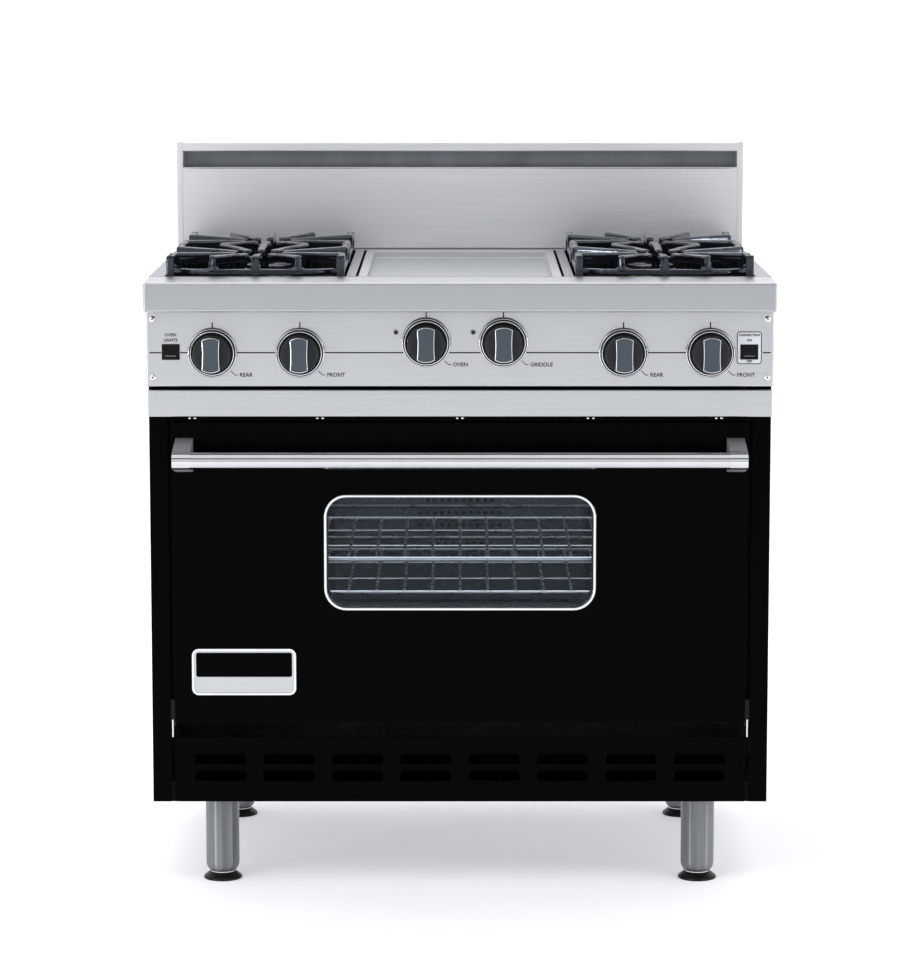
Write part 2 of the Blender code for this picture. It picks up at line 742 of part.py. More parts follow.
def racks():
    """Side guides with ledges, and two wire racks that slide on them."""
    wall_x = CAVITY_HALF - FIT - GUIDE_WALL
    bottom = CAVITY_Z + FLOOR_HEIGHT + GUIDE_WALL
    count = int((CAVITY_HEIGHT - RACK_FIRST - RACK_HEADROOM) / RACK_SPACING)
    levels = [CAVITY_Z + RACK_FIRST + level * RACK_SPACING for level in range(count)]
    comb = [(CAVITY_HALF - FIT, bottom), (wall_x, bottom)]
    for level in levels:
        comb.append((wall_x, level - RACK_LEDGE_HEIGHT))
        comb.append((wall_x - RACK_LEDGE, level - RACK_LEDGE_HEIGHT))
        comb.append((wall_x - RACK_LEDGE, level))
        comb.append((wall_x, level))
    guide_top = levels[-1] + RACK_SPACING / 2
    comb += [(wall_x, guide_top), (CAVITY_HALF - FIT, guide_top)]
    length = CAVITY_DEPTH - 2 * FLOOR_MARGIN
    centre = (0, (OVEN_Y + CAVITY_BACK) / 2, 0)
    for side, sign in SIDE_SIGNS.items():
        outline = [(sign * x, z) for x, z in comb]
        plate(f"{side}_rack_guide", [outline], length, CHROME, centre, "front")

    width = 2 * (wall_x - RACK_SIDE_ROOM)
    bars = round(width / RACK_PITCH)
    pitch = (width - RACK_WIRE) / bars
    outlines = [rectangle(width, RACK_DEPTH)]
    for index in range(bars):
        across = (index + 0.5) * pitch - (width - RACK_WIRE) / 2
        outlines.append(rectangle(pitch - RACK_WIRE, RACK_DEPTH - 2 * RACK_WIRE, (across, 0)))
    rack_y = OVEN_Y + RACK_FRONT_GAP + RACK_DEPTH / 2
    for name, level in (("lower_oven_rack", LOWER_LEVEL), ("upper_oven_rack", UPPER_LEVEL)):
        spot = (0, rack_y, levels[level] + FIT + RACK_THICKNESS / 2)
        plate(name, outlines, RACK_THICKNESS, CHROME, spot)


def door():
    """The drop-down door: skin, window, inner panel and handle, on two bottom hinges."""
    half = DOOR_HALF
    window_z = DOOR_Z + WINDOW_LIFT + WINDOW_HEIGHT / 2
    opening = around_window(0)
    skin_back = DOOR_Y + DOOR_SKIN_DEPTH
    hole = plate("window_hole", [opening], 2 * DOOR_SKIN_DEPTH, ENAMEL, (0, DOOR_Y, window_z), "front")
    outside = (-half, DOOR_Y, DOOR_Z), (half, skin_back, DOOR_TOP)
    skin = cut(shell("door_skin", *outside, "back", SHEET, ENAMEL, EDGE), hole)

    inset = DOOR_LINER_INSET
    liner = shell(
        "door_liner",
        (inset - half, skin_back + FIT, DOOR_Z + inset),
        (half - inset, DOOR_BACK, DOOR_TOP - inset),
        "front",
        SHEET,
        PORCELAIN,
    )
    inner_hole = plate("inner_hole", [opening], DOOR_SKIN_DEPTH, ENAMEL, (0, DOOR_BACK, window_z), "front")
    pin_hole = rod("pin_hole", (-half, HINGE_Y, HINGE_Z), (half, HINGE_Y, HINGE_Z), HINGE_PIN + FIT, ENAMEL)
    liner = cut(liner, inner_hole, pin_hole)

    glass_y = DOOR_Y + SHEET + FIT + GLASS / 2
    glass = plate("door_glass", [around_window(GLASS_LAP)], GLASS, TINTED, (0, glass_y, window_z), "front")
    trim_y = DOOR_Y - FIT - TRIM_DEPTH / 2
    rim = around_window(TRIM_WIDTH)
    trim = plate("window_trim", [rim, opening], TRIM_DEPTH, CHROME, (0, trim_y, window_z), "front")
    carry("door_pivot", (0, HINGE_Y, HINGE_Z), [skin, liner, glass, trim, handle()])

    for side, sign in SIDE_SIGNS.items():
        near = half + HINGE_ROOM
        far = HALF - FLANGE - FIT
        low = (min(sign * near, sign * far), BODY_Y, HINGE_Z - HINGE_HEIGHT / 2)
        high = (max(sign * near, sign * far), OVEN_Y - FIT, HINGE_Z + HINGE_HEIGHT / 2)
        bracket = block(f"{side}_door_hinge", low, high, GALVANISED)
        pin_end = (sign * (near - HINGE_PIN_LENGTH), HINGE_Y, HINGE_Z)
        join(bracket, rod("pin", (sign * (near + far) / 2, HINGE_Y, HINGE_Z), pin_end, HINGE_PIN, GALVANISED))


def around_window(margin):
    """The window's outline, grown all round by a margin."""
    return round_rectangle(WINDOW_WIDTH + 2 * margin, WINDOW_HEIGHT + 2 * margin, WINDOW_RADIUS + margin)


def handle():
    """A round bar between two tapered end brackets."""
    bar_y = HANDLE_RADIUS - DEPTH / 2
    bar_z = DOOR_TOP - HANDLE_DROP
    foot_y = DOOR_Y - FIT
    outer = DOOR_HALF - HANDLE_INSET
    bar_end = outer - HANDLE_BRACKET / 2
    bar = rod("door_handle", (-bar_end, bar_y, bar_z), (bar_end, bar_y, bar_z), HANDLE_RADIUS, CHROME)
    nose = []
    for step in range(2 * QUARTER_STEPS + 1):
        angle = -math.pi / 2 - step * math.pi / 2 / QUARTER_STEPS
        nose.append((bar_y + HANDLE_NOSE * math.cos(angle), bar_z + HANDLE_NOSE * math.sin(angle)))
    half = HANDLE_BRACKET_HEIGHT / 2
    outline = [(foot_y, bar_z - half), *nose, (foot_y, bar_z + half)]
    ends = []
    for sign in SIDE_SIGNS.values():
        centre = (sign * (outer - HANDLE_BRACKET / 2), 0, 0)
        ends.append(plate("bracket", [outline], HANDLE_BRACKET, CHROME, centre, "side"))
    return join(bar, *ends)


def controls():
    """The control panel, its knobs on their valves, and two rocker switches."""
    outside = (-HALF, PANEL_Y, PANEL_Z), (HALF, BODY_Y - FIT, PANEL_TOP)
    panel = shell("control_panel", *outside, "back", SHEET, STAINLESS, EDGE)
    through = (PANEL_Y - SHEET, PANEL_Y + 2 * SHEET)
    cutters = []
    valves = []
    for name, (x, z) in knob_spots().items():
        knob(f"{name}_knob", x, z)
        cutters.append(rod("spindle_hole", (x, through[0], z), (x, through[1], z), SPINDLE_HOLE, STAINLESS))
        valves.append(rod("valve", (x, VALVE_Y, z), (x, MANIFOLD_Y, z), VALVE_RADIUS, BRASS))
    hole_w = SWITCH_WIDTH / 2 + FIT
    hole_h = SWITCH_HEIGHT / 2 + SWITCH_ROOM
    for name, x in (("light_switch", -SWITCH_X), ("fan_switch", SWITCH_X)):
        low = (x - hole_w, through[0], SWITCH_Z - hole_h)
        cutters.append(block("switch_hole", low, (x + hole_w, through[1], SWITCH_Z + hole_h), STAINLESS))
        rocker(name, x)
    cut(panel, *cutters)
    pipe_ends = (-INNER, MANIFOLD_Y, KNOB_Z), (INNER, MANIFOLD_Y, KNOB_Z)
    pipe = rod("gas_manifold", *pipe_ends, MANIFOLD_RADIUS, BRASS)
    join(pipe, *valves)


def knob_spots():
    """Where each spindle meets the panel: burner knobs from its ends, the other two from its middle."""
    spots = {name: (inset - HALF, KNOB_Z) for name, inset in LEFT_KNOBS.items()}
    spots.update({name: (x, KNOB_Z + CENTRE_KNOB_RISE) for name, x in CENTRE_KNOBS.items()})
    spots.update({name: (HALF - inset, KNOB_Z) for name, inset in RIGHT_KNOBS.items()})
    return spots


def knob(name, x, z):
    """A round knob with a grip bar, on a spindle that reaches its valve."""
    skirt_top = KNOB_STANDOFF + KNOB_SKIRT
    face = skirt_top + KNOB_DEPTH
    tail = VALVE_Y - FIT - PANEL_Y
    profile = [
        (0, face),
        (KNOB_RADIUS - KNOB_EDGE, face),
        (KNOB_RADIUS, face - KNOB_EDGE),
        (KNOB_RADIUS, skirt_top),
        (KNOB_SKIRT_RADIUS, skirt_top),
        (KNOB_SKIRT_RADIUS, KNOB_STANDOFF),
        (SPINDLE_RADIUS, KNOB_STANDOFF),
        (SPINDLE_RADIUS, -tail),
        (0, -tail),
    ]
    body = turned(name, profile, PLASTIC, (x, PANEL_Y, z), "front")
    low = (x - GRIP_WIDTH / 2, PANEL_Y - face - GRIP_DEPTH, z - GRIP_LENGTH / 2)
    high = (x + GRIP_WIDTH / 2, PANEL_Y - face + KNOB_EDGE, z + GRIP_LENGTH / 2)
    return join(body, block("grip", low, high, PLASTIC, KNOB_EDGE / 2))


def rocker(name, x):
    """A rocker switch, tilted to its off side, that pivots in the panel's face."""
    size = Vector((SWITCH_WIDTH, SWITCH_DEPTH, SWITCH_HEIGHT))
    shape = box_mesh(size)
    bmesh.ops.translate(shape, vec=(0, SWITCH_DEPTH / 2 - SWITCH_PROUD, 0), verts=shape.verts)
    piece = place(name, mesh_of(name, shape), PLASTIC, (x, PANEL_Y, SWITCH_Z))
    piece.rotation_euler = (-math.radians(SWITCH_TILT), 0, 0)
    return piece


def cooktop():
    """The deck with its wells, four burners, the griddle over its own burner, and the drip tray."""
    above = TOP + RIM
    below = LEDGE_Z - RIM
    seat = TOP - GRIDDLE_RIM_HEIGHT - GRIDDLE_PLATE
    pocket = GRIDDLE_HALF + GRIDDLE_GAP
    vent = GRIDDLE_HALF - GRIDDLE_LEDGE
    deck = block("cooktop_deck", (-HALF, DECK_Y, LEDGE_Z), (HALF, BACK_Y, TOP), STAINLESS)
    cutters = [
        block(
            "relief",
            (-WELL_OUTER, WELL_START, below),
            (WELL_OUTER, WELL_END, WELL_Z - DECK_FLOOR),
            ENAMEL,
        ),
        block(
            "rear_channel",
            (SHEET - HALF, WELL_END + SHEET, below),
            (HALF - SHEET, BACK_Y - SHEET, TOP - DECK_FLOOR),
            ENAMEL,
        ),
        block("griddle_pocket", (-pocket, WELL_START, seat - FIT), (pocket, WELL_END, above), ENAMEL),
        block(
            "griddle_vent",
            (-vent, WELL_START + GRIDDLE_LEDGE, below),
            (vent, WELL_END - GRIDDLE_LEDGE, above),
            ENAMEL,
        ),
    ]
    head_top = BURNER_BASE + BURNER_RISE
    cap_top = head_top + BURNER_CAP_RISE
    profile = [
        (0, cap_top),
        (BURNER_CAP, cap_top),
        (BURNER_CAP, head_top),
        (BURNER_HEAD, head_top),
        (BURNER_HEAD, BURNER_BASE),
        (BURNER_FLANGE, BURNER_BASE),
        (BURNER_FLANGE, 0),
        (BURNER_THROAT, 0),
        (BURNER_THROAT, -BURNER_TAIL),
        (0, -BURNER_TAIL),
    ]
    for side, sign in SIDE_SIGNS.items():
        low_x, high_x = sorted((sign * WELL_INNER, sign * WELL_OUTER))
        cutters.append(block("well", (low_x, WELL_START, WELL_Z), (high_x, WELL_END, above), ENAMEL))
        low_x, high_x = sorted((sign * (WELL_OUTER + SHEET), sign * (HALF - SHEET)))
        channel_end = WELL_END + 2 * SHEET
        channel = (low_x, DECK_Y + SHEET, below), (high_x, channel_end, TOP - DECK_FLOOR)
        cutters.append(block("side_channel", *channel, ENAMEL))
        for row, y in BURNER_YS.items():
            x = sign * BURNER_X
            cutters.append(rod("throat", (x, y, below), (x, y, above), BURNER_THROAT + THROAT_ROOM, ENAMEL))
            turned(f"burner_{row}_{side}", profile, BRASS, (x, y, WELL_Z + FIT))
    cut(deck, *cutters)

    start = WELL_START + GRIDDLE_GAP
    end = WELL_END - GRIDDLE_GAP
    slab = block("griddle_plate", (-GRIDDLE_HALF, start, seat), (GRIDDLE_HALF, end, TOP), STAINLESS)
    surface = GRIDDLE_HALF - GRIDDLE_RIM
    hollow = block(
        "griddle_hollow",
        (-surface, start - RIM, TOP - GRIDDLE_RIM_HEIGHT),
        (surface, end - GRIDDLE_RIM, above),
        STAINLESS,
    )
    cut(slab, hollow)

    rail_y = (DECK_Y + BACK_Y) / 2
    ring = [
        rectangle(2 * INNER, BACK_Y - DECK_Y),
        rectangle(2 * (INNER - FRAME_RAIL), BACK_Y - DECK_Y - 2 * FRAME_RAIL),
    ]
    rail_z = PANEL_TOP - FRAME_HEIGHT / 2
    plate("burner_frame", ring, FRAME_HEIGHT, GALVANISED, (0, rail_y, rail_z))
    tube_start = DECK_Y + FRAME_RAIL + FIT
    tube_end = BACK_Y - FRAME_RAIL - FIT
    tube_z = PANEL_TOP - BURNER_TUBE
    spread = GRIDDLE_TUBE_SPREAD
    runs = [
        rod("griddle_burner", (x, tube_start, tube_z), (x, tube_end, tube_z), BURNER_TUBE, GALVANISED)
        for x in (-spread, spread)
    ]
    link = rod("link", (-spread, rail_y, tube_z), (spread, rail_y, tube_z), BURNER_TUBE, GALVANISED)
    join(runs[0], runs[1], link)
    drip_tray()


def drip_tray():
    """A full-width tray under the burners, behind its stainless front strip."""
    reach = HALF - FLANGE - TRAY_MARGIN
    floor = DOOR_TOP + SHIELD + FIT
    start = STRIP_Y + STRIP_THICK / 2
    pan = (-reach, start, floor), (reach, start + TRAY_DEPTH, floor + TRAY_HEIGHT)
    front = (-HALF, STRIP_Y, STRIP_Z), (HALF, STRIP_Y + STRIP_THICK, STRIP_TOP)
    tray = shell("drip_tray", *pan, "top", SHEET, STAINLESS)
    join(tray, block("strip", *front, STAINLESS, STRIP_ROUNDING))


def grates():
    """Four alike cast grates, each with its feet in a well."""
    master = grate("grate_front_left")
    lift = master.location.z
    sites = [(row, side) for row in BURNER_YS for side in SIDE_SIGNS]
    for row, side in sites:
        spot = (SIDE_SIGNS[side] * BURNER_X, BURNER_YS[row], WELL_Z + FIT + lift)
        if (row, side) == sites[0]:
            master.location = spot
        else:
            place(f"grate_{row}_{side}", master.data.copy(), IRON, spot)


def grate(name):
    """Posts and fingers that point at the burner, on a rounded base ring; feet at height 0."""
    top = TOP + GRATE_RISE - WELL_Z - FIT
    ring_top = TOP + GRATE_RING_LIFT - WELL_Z - FIT
    post_y = (GRATE_DEPTH - GRATE_BAR) / 2
    post_x = (GRATE_WIDTH - GRATE_BAR) / 2
    under = top - GRATE_FINGER
    base = [
        round_rectangle(GRATE_WIDTH - 2 * RING_INSET, GRATE_DEPTH - 2 * RING_INSET, GRATE_CORNER),
        round_rectangle(
            GRATE_WIDTH - 2 * GRATE_RING, GRATE_DEPTH - 2 * GRATE_RING, GRATE_CORNER - GRATE_RING + RING_INSET
        ),
    ]
    ring = plate(name, base, GRATE_RING, IRON, (0, 0, ring_top - GRATE_RING / 2))
    bars = []
    for sy in (-1, 1):
        bars.append(finger((0, sy * post_y), 0, under, top))
        for sx in (-1, 1):
            bars.append(finger((sx * GRATE_POST_X, sy * (post_y - TURN_ROOM)), 0, under, top))
            bars.append(finger((sx * (post_x - TURN_ROOM), sy * GRATE_SIDE_Y), 0, under, top))
            bars.append(square_bar((sx * post_x, sy * post_y), 0, top))
            rail_ends = sorted((sy * GRATE_SIDE_Y, sy * (post_y - RING_INSET)))
            half = GRATE_BAR / 2 - RING_INSET
            low = (sx * post_x - half, rail_ends[0], under + RING_INSET)
            bars.append(block("rail", low, (sx * post_x + half, rail_ends[1], top - RING_INSET), IRON))
    return join(ring, *bars)


def finger(spot, foot, under, top):
    """A post with an arm that runs from it to the eye over the burner."""
    away = Vector(spot)
    half = GRATE_BAR / 2
    length = away.length - GRATE_EYE
    outline = [
        (-half, foot),
        (half, foot),
        (half, under),
        (length, under),
        (length, top - GRATE_TIP_DROP),
        (-half, top),
    ]
    turn = math.atan2(-away.y, -away.x)
    return plate("finger", [outline], GRATE_BAR, IRON, (away.x, away.y, 0), "front", turn)


def square_bar(spot, foot, top):
    """An upright square bar."""
    x, y = spot
    half = GRATE_BAR / 2
    return block("post", (x - half, y - half, foot), (x + half, y + half, top), IRON)


body_panels()
legs()
oven()
door()
controls()
cooktop()
grates()
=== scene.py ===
"""Looks of a 36-inch gas range: stainless top, black enamel body, cast grates and a chrome handle."""
import json
import math

import bmesh
import bpy
from mathutils import Matrix, Vector


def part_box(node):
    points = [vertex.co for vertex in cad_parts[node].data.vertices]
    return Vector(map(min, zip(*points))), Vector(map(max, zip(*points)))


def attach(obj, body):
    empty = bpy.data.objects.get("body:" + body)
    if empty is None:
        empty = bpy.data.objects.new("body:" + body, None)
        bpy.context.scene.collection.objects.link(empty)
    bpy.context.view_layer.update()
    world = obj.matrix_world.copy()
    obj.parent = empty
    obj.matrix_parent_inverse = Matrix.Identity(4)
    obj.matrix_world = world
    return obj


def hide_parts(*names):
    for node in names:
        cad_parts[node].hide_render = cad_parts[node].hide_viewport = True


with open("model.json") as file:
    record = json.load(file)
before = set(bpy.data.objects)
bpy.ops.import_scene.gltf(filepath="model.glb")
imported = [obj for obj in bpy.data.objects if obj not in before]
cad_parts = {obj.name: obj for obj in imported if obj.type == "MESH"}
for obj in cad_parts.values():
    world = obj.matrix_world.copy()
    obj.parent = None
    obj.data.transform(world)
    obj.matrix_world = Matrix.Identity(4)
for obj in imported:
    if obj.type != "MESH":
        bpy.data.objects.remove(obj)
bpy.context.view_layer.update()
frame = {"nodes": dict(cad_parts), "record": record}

# Camera, measured from the photograph
CAMERA_SPOT = (0.0, -5.547, 1.343)
CAMERA_PITCH = 7.95
CAMERA_LENS = 134.88
SENSOR = 36.0
RIGHT_ANGLE = 90

# Facings: which way a turned piece's top or a flat piece's front looks
UP = (0.0, 0.0, 0.0)
FRONT = (math.pi / 2, 0.0, 0.0)
REAR = (-math.pi / 2, 0.0, 0.0)
SIDE = (math.pi / 2, 0.0, math.pi / 2)
SMOOTH_ANGLE = math.radians(38)
WELD = 1e-5
SKIN = 0.0002


def edges_of(node):
    """The six planes of a CAD node's box, by name."""
    low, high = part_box(node)
    planes = {"left": low.x, "front": low.y, "bottom": low.z}
    return planes | {"right": high.x, "back": high.y, "top": high.z}


LEDGE = edges_of("landing_ledge")
PANEL = edges_of("control_panel")
STRIP = edges_of("drip_tray")
BACK = edges_of("backguard")
DECK = edges_of("cooktop_deck")
GRIDDLE = edges_of("griddle_plate")
DOOR = edges_of("door_skin")
TRIM = edges_of("window_trim")
KICK = edges_of("kick_panel")
HANDLE = edges_of("door_handle")
KNOBS = ("rear_left", "front_left", "oven", "griddle", "rear_right", "front_right")
CORNERS = [f"{row}_{side}" for row in ("front", "rear") for side in ("left", "right")]

# Shared small sizes
ALIGNED = 0.9
SHEET = 0.0015

# Sides of round pieces and steps of rounded edges
KNOB_SIDES = 96
ROUND_SIDES = 64
LAMP_SIDES = 48
SCREW_SIDES = 32
ROD_SIDES = 24
SMALL_SIDES = 16
WIRE_SIDES = 12
CORNER_STEPS = 8
BULLNOSE_STEPS = 4
VENT_STEPS = 4
EDGE_STEPS = 3
WORD_STEPS = 3
CAP_STEPS = 2
WIRE_STEPS = 2
LIP_STEPS = 1

# Textures: pitch along x, y and z, detail, spread, gloss, and relief and height of the bumps
MIX_TYPES = {"Color": "RGBA", "Float": "FLOAT"}
NOISE_SPREAD = (0.3, 0.7)
WIDE_SPREAD = (0.2, 0.8)
NOISE_DETAIL = 2.0
HALF_MIRROR = 0.5
# Dull black that stands in for shade: painted shade on fronts in dark gaps and under the ledge.
SHADE_BLACK = (0.002, 0.002, 0.002)
FRONT_SHADE_LEVEL = 0.04
SHADE_ROUGHNESS = 0.3
TURNED_ANISOTROPY = 0.92
QUARTER_TURN = 0.25
ALONG_WIDTH = (7, 900, 900)
ALONG_GRIDDLE = (9, 400, 400)
ALONG_FLUE = (16, 3, 3)
# The legs' upright light and dark streaks stand in for reflections: painted reflections.
DOWN_LEG = (110, 110, 3)
BRUSH_DETAIL = 3.0
BRUSH_RELIEF = 0.015
BRUSH_HEIGHT = 0.0002
SATIN_GLOSS = (0.27, 0.36)
CLOUD_PITCH = (9, 9, 9)
PEEL_PITCH = (140, 140, 140)
PEEL_RELIEF = 0.02
PEEL_HEIGHT = 0.0004
WIPE_PITCH = (30, 60, 60)
WIPE_DETAIL = 4.0
WIPE_SHADE = 0.92
MOULD_DETAIL = 3.0
MOULD_RELIEF = 0.05
MOULD_HEIGHT = 0.0002
IRON_DARK = (0.004, 0.005, 0.007)
IRON_LIGHT = (0.009, 0.011, 0.015)
IRON_LEVEL = 0.7
IRON_SHEEN = (0.74, 0.84, 1.0, 1.0)
IRON_GLOSS = (0.07, 0.12)
IRON_PITCH = (35, 35, 35)
PEBBLE_PITCH = (300, 300, 300)
PEBBLE_RELIEF = 0.03
PEBBLE_HEIGHT = 0.0005
FLECK_PITCH = (260, 260, 260)
FLECK_DETAIL = 1.0
FLECK_SPREAD = (0.62, 0.70)
FLECK_RELIEF = 0.04
FLECK_HEIGHT = 0.0003
GLAZE_PITCH = (12, 12, 12)
GLAZE_SPREAD = 0.12
CRYSTAL_PITCH = (150, 150, 150)
CRYSTAL_DETAIL = 0.0
DULL_PITCH = (40, 40, 40)
ZINC_GLOSS = (0.36, 0.52)
SMEAR_PITCH = (14, 14, 14)
SMEAR_GLOSS = (0.01, 0.035)
GLASS_BEND = 1.2

# Top and panel
LEDGE_ROUNDING = 0.0036
LEDGE_FACE_DEPTH = 0.0008
PANEL_ROUNDING = 0.0025
STRIP_HEIGHT = 0.0393
STRIP_THICK = 0.008
STRIP_ROUNDING = 0.0015
TRAY_INSET = 0.0355
TRAY_HEIGHT = 0.030
TRAY_BEAD = 0.0015
WELL_DEPTH = 0.035
WELL_LIP = 0.0015
MOUTH_RIM = 0.002
# Depth of the painted shade on the fronts of the base pan and heat shield.
FRONT_SHADE_DEPTH = 0.040
WELL_WALL = 0.010
SCREW_INSET = 0.0095
SCREW_DROP = 0.0141
SCREW_LIFT = 0.013
SCREW_PROFILE = [(0.0048, 0.0), (0.0048, 0.0006), (0.0040, 0.0017), (0.0026, 0.0023), (0.0012, 0.0025)]
SCREW_CROSS = 0.0026
SCREW_SLIT = 0.0005
# A black disc inside each screw head, seen at the bottom of the cross recess: painted shade.
SCREW_SHADE_PROFILE = [(0.0012, 0.0), (0.0012, 0.0020)]

# Printing on the panel
LINE = 0.0018
LINE_MARGIN = 0.005
LINE_GAP = 0.0015
LABEL_MARGIN = 0.006
TICK_START = 0.0365
TICK_END = 0.0445
LEADER = 0.0006
LEADER_START = 0.0268
LEADER_ELBOW = 0.0325
LEADER_TAIL = 0.004
WORD_GAP = 0.0065
KNOB_WORD_SIZE = 0.0080
WORD_WEIGHT = 0.00018
KNOB_WORDS = {
    "rear_left": "REAR",
    "front_left": "FRONT",
    "oven": "OVEN",
    "griddle": "GRIDDLE",
    "rear_right": "REAR",
    "front_right": "FRONT",
}
SWITCH_WORD_SIZE = 0.0062
SWITCH_WORD_LIFT = 0.006
SWITCH_WORD_STEP = 0.0075

# Knobs, lamps and switches: radius and height from the panel's face
BEZEL_PROFILE = [(0.0366, 0.0), (0.0366, 0.0020), (0.0362, 0.0038), (0.0354, 0.0052), (0.0344, 0.0058)]
# A black ring that fills the gap between bezel and knob ring: painted shade.
SHADOW_RING_PROFILE = [(0.0338, 0.0050), (0.0338, 0.0100)]
RING_PROFILE = [(0.0316, 0.0102), (0.0320, 0.0108), (0.0322, 0.0124), (0.0319, 0.0134), (0.0311, 0.0137)]
SKIRT_PROFILE = [(0.0309, 0.0130), (0.0309, 0.0146), (0.0301, 0.0152)]
BARREL_PROFILE = [(0.0274, 0.0145), (0.0272, 0.0285), (0.0268, 0.0299), (0.0256, 0.0308), (0.0240, 0.0310)]
GRIP_WIDTH = 0.0240
GRIP_WAIST = 0.0009
GRIP_REACH = 0.0245
GRIP_DEPTH = 0.012
GRIP_EDGE = 0.0016
GRIP_TRIM = 0.0009
GRIP_STEPS = 10
LAMP_SIDE = 0.044
LAMP_RISE = 0.0145
LAMP_RIM_PROFILE = [(0.0046, 0.0), (0.0046, 0.0012), (0.0040, 0.0018)]
LAMP_LENS_PROFILE = [(0.0034, 0.0018), (0.0032, 0.0026), (0.0022, 0.0034), (0.0008, 0.0037)]
SWITCHES = ("light_switch", "fan_switch")
SWITCH_HEIGHT = 0.0205
SWITCH_PROUD = 0.003
SWITCH_BACK = 0.007
SWITCH_DISH = 0.0016
SWITCH_TILT = 8.0
SWITCH_EDGE = 0.0006
SWITCH_FRAME = 0.0008
SWITCH_RIM = 0.0012
SWITCH_ROOM = 0.0006
# A grey rod along each rocker's lower edge: a painted highlight line.
SWITCH_HIGHLIGHT_RADIUS = 0.0005
SWITCH_HIGHLIGHT_RISE = 0.0045
LABEL = 0.0008
LABEL_WIDTH = 0.035
LABEL_HEIGHT = 0.0463
LABEL_RADIUS = 0.004
LABEL_RISE = 0.006
LABEL_WORD_SIZE = 0.0046
LABEL_WORDS = {"CONVECTION": 0.0245, "ON": 0.0170, "OFF": -0.0138}

# Backguard
SLOT_MARGIN = 0.0102
SLOT_HEIGHT = 0.0265
SLOT_TO_TOP = 0.0142
BACK_ROUNDING = 0.0015
FLUE_WALL = 0.004
SLOT_LIP = 0.0013
CAP_WIDTH = 0.009
CAP_PROUD = 0.0008

# Rear sheet
REAR_SHEET = 0.0006
REAR_INSET = 0.012
REAR_SCREWS = 4
REAR_SCREW_PROFILE = [(0.0050, 0.0), (0.0048, 0.0004), (0.0036, 0.0007), (0.0016, 0.0009)]
VENT_SIDE = 0.25
VENT_ROWS = 7
VENT_DROP = 0.10
VENT_STEP = 0.022
VENT_WIDTH = 0.16
VENT_HEIGHT = 0.009

# Cooktop
GRATE_VOXEL = 0.0022
GRATE_SMOOTHING = 4
GRATE_EASE = 0.5
GRATE_KEPT = 0.4
HEAD_SIDES = 72
HEAD_PROFILE = [
    (0.048, 0.0),
    (0.048, 0.003),
    (0.046, 0.005),
    (0.0405, 0.006),
    (0.040, 0.007),
    (0.040, 0.014),
    (0.037, 0.017),
]
CAP_PROFILE = [
    (0.036, 0.017),
    (0.0365, 0.019),
    (0.0355, 0.0225),
    (0.032, 0.0247),
    (0.024, 0.0257),
    (0.010, 0.026),
]
PORT_Z = 0.0105
PORT_RIM = 0.0007
PORT_DEPTH = 0.0014
IGNITER_SIDE = 0.052
IGNITER_PROFILE = [(0.0035, 0.0), (0.0035, 0.010), (0.0020, 0.0115), (0.0012, 0.0155)]
GRIDDLE_RIM = 0.014
GRIDDLE_RIM_HEIGHT = 0.012
GRIDDLE_EDGE = 0.0015

# Door
DOOR_CORNER = 0.0035
DOOR_ROUNDING = 0.002
TRIM_WIDTH = 0.0036
TRIM_DEPTH = 0.0033
TRIM_EDGE = 0.001
WINDOW_RADIUS = 0.029
PANE = 0.004
PANE_SETBACK = 0.0038
STUD_PLACES = (-0.93, -0.486, 0.0, 0.454, 0.90)
STUD_PAIR = 0.004
STUD_RISE = 0.0035
STUD_PROFILE = [(0.0018, 0.0), (0.0016, 0.0006), (0.0008, 0.0011)]
BADGE = 0.004
BADGE_X = -0.3175
BADGE_Z = 0.3315
BADGE_WIDTH = 0.153
BADGE_HEIGHT = 0.069
BADGE_RADIUS = 0.010
BADGE_RIM = 0.003
BADGE_EDGE = 0.001
BADGE_FIELD = 0.036
HANDLE_RADIUS = 0.0122
HANDLE_NOSE = 0.0129
HANDLE_BRACKET = 0.0258
BRACKET_EDGE = 0.0015
NOSE_STEPS = 16

# Hinge pins
PIN = 0.0013
PIN_INSET = 0.0028
PIN_TAIL = 0.016
PIN_RISE = 0.010

# Kick panel, legs and racks
LOUVER_ROWS = 2
LOUVER_PITCH = 0.1016
LOUVER_WIDTH = 0.076
LOUVER_HEIGHT = 0.0178
LOUVER_RADIUS = 0.008
LOUVER_STEPS = 6
LOUVER_SPACING = 0.0253
LOUVER_DROP = 0.0233
LIP = 0.0006
BLADE_LAP = 0.002
BLADE_REACH = 0.014
LEG_RADIUS = 0.025
LEG_FOOT = [
    (0.0190, 0.0),
    (0.0203, 0.0006),
    (0.0224, 0.0030),
    (0.0240, 0.0065),
    (0.0248, 0.0100),
    (0.0250, 0.0135),
]
COLLAR_PROFILE = [(0.0180, 0.0105), (0.0186, 0.0109), (0.0186, 0.0121), (0.0180, 0.0125)]
FOOT_PROFILE = [
    (0.0278, 0.0),
    (0.0287, 0.0008),
    (0.0287, 0.0024),
    (0.0276, 0.0042),
    (0.0248, 0.0062),
    (0.0216, 0.0088),
    (0.0196, 0.0103),
    (0.0190, 0.0105),
]
RACK_FRAME = 0.003
RACK_WIRE = 0.0021
RACK_PITCH = 0.0405
RACK_BARS = (0.36, 0.74)
RACK_RAIL = 0.020
GUARD = 0.0012
GUARD_RADIUS = 0.078
GUARD_REACH = 0.068
GUARD_PITCH = 0.0115
GUARD_ROW = 0.010
GUARD_HOLE = 0.0036
GUARD_SIDES = 10

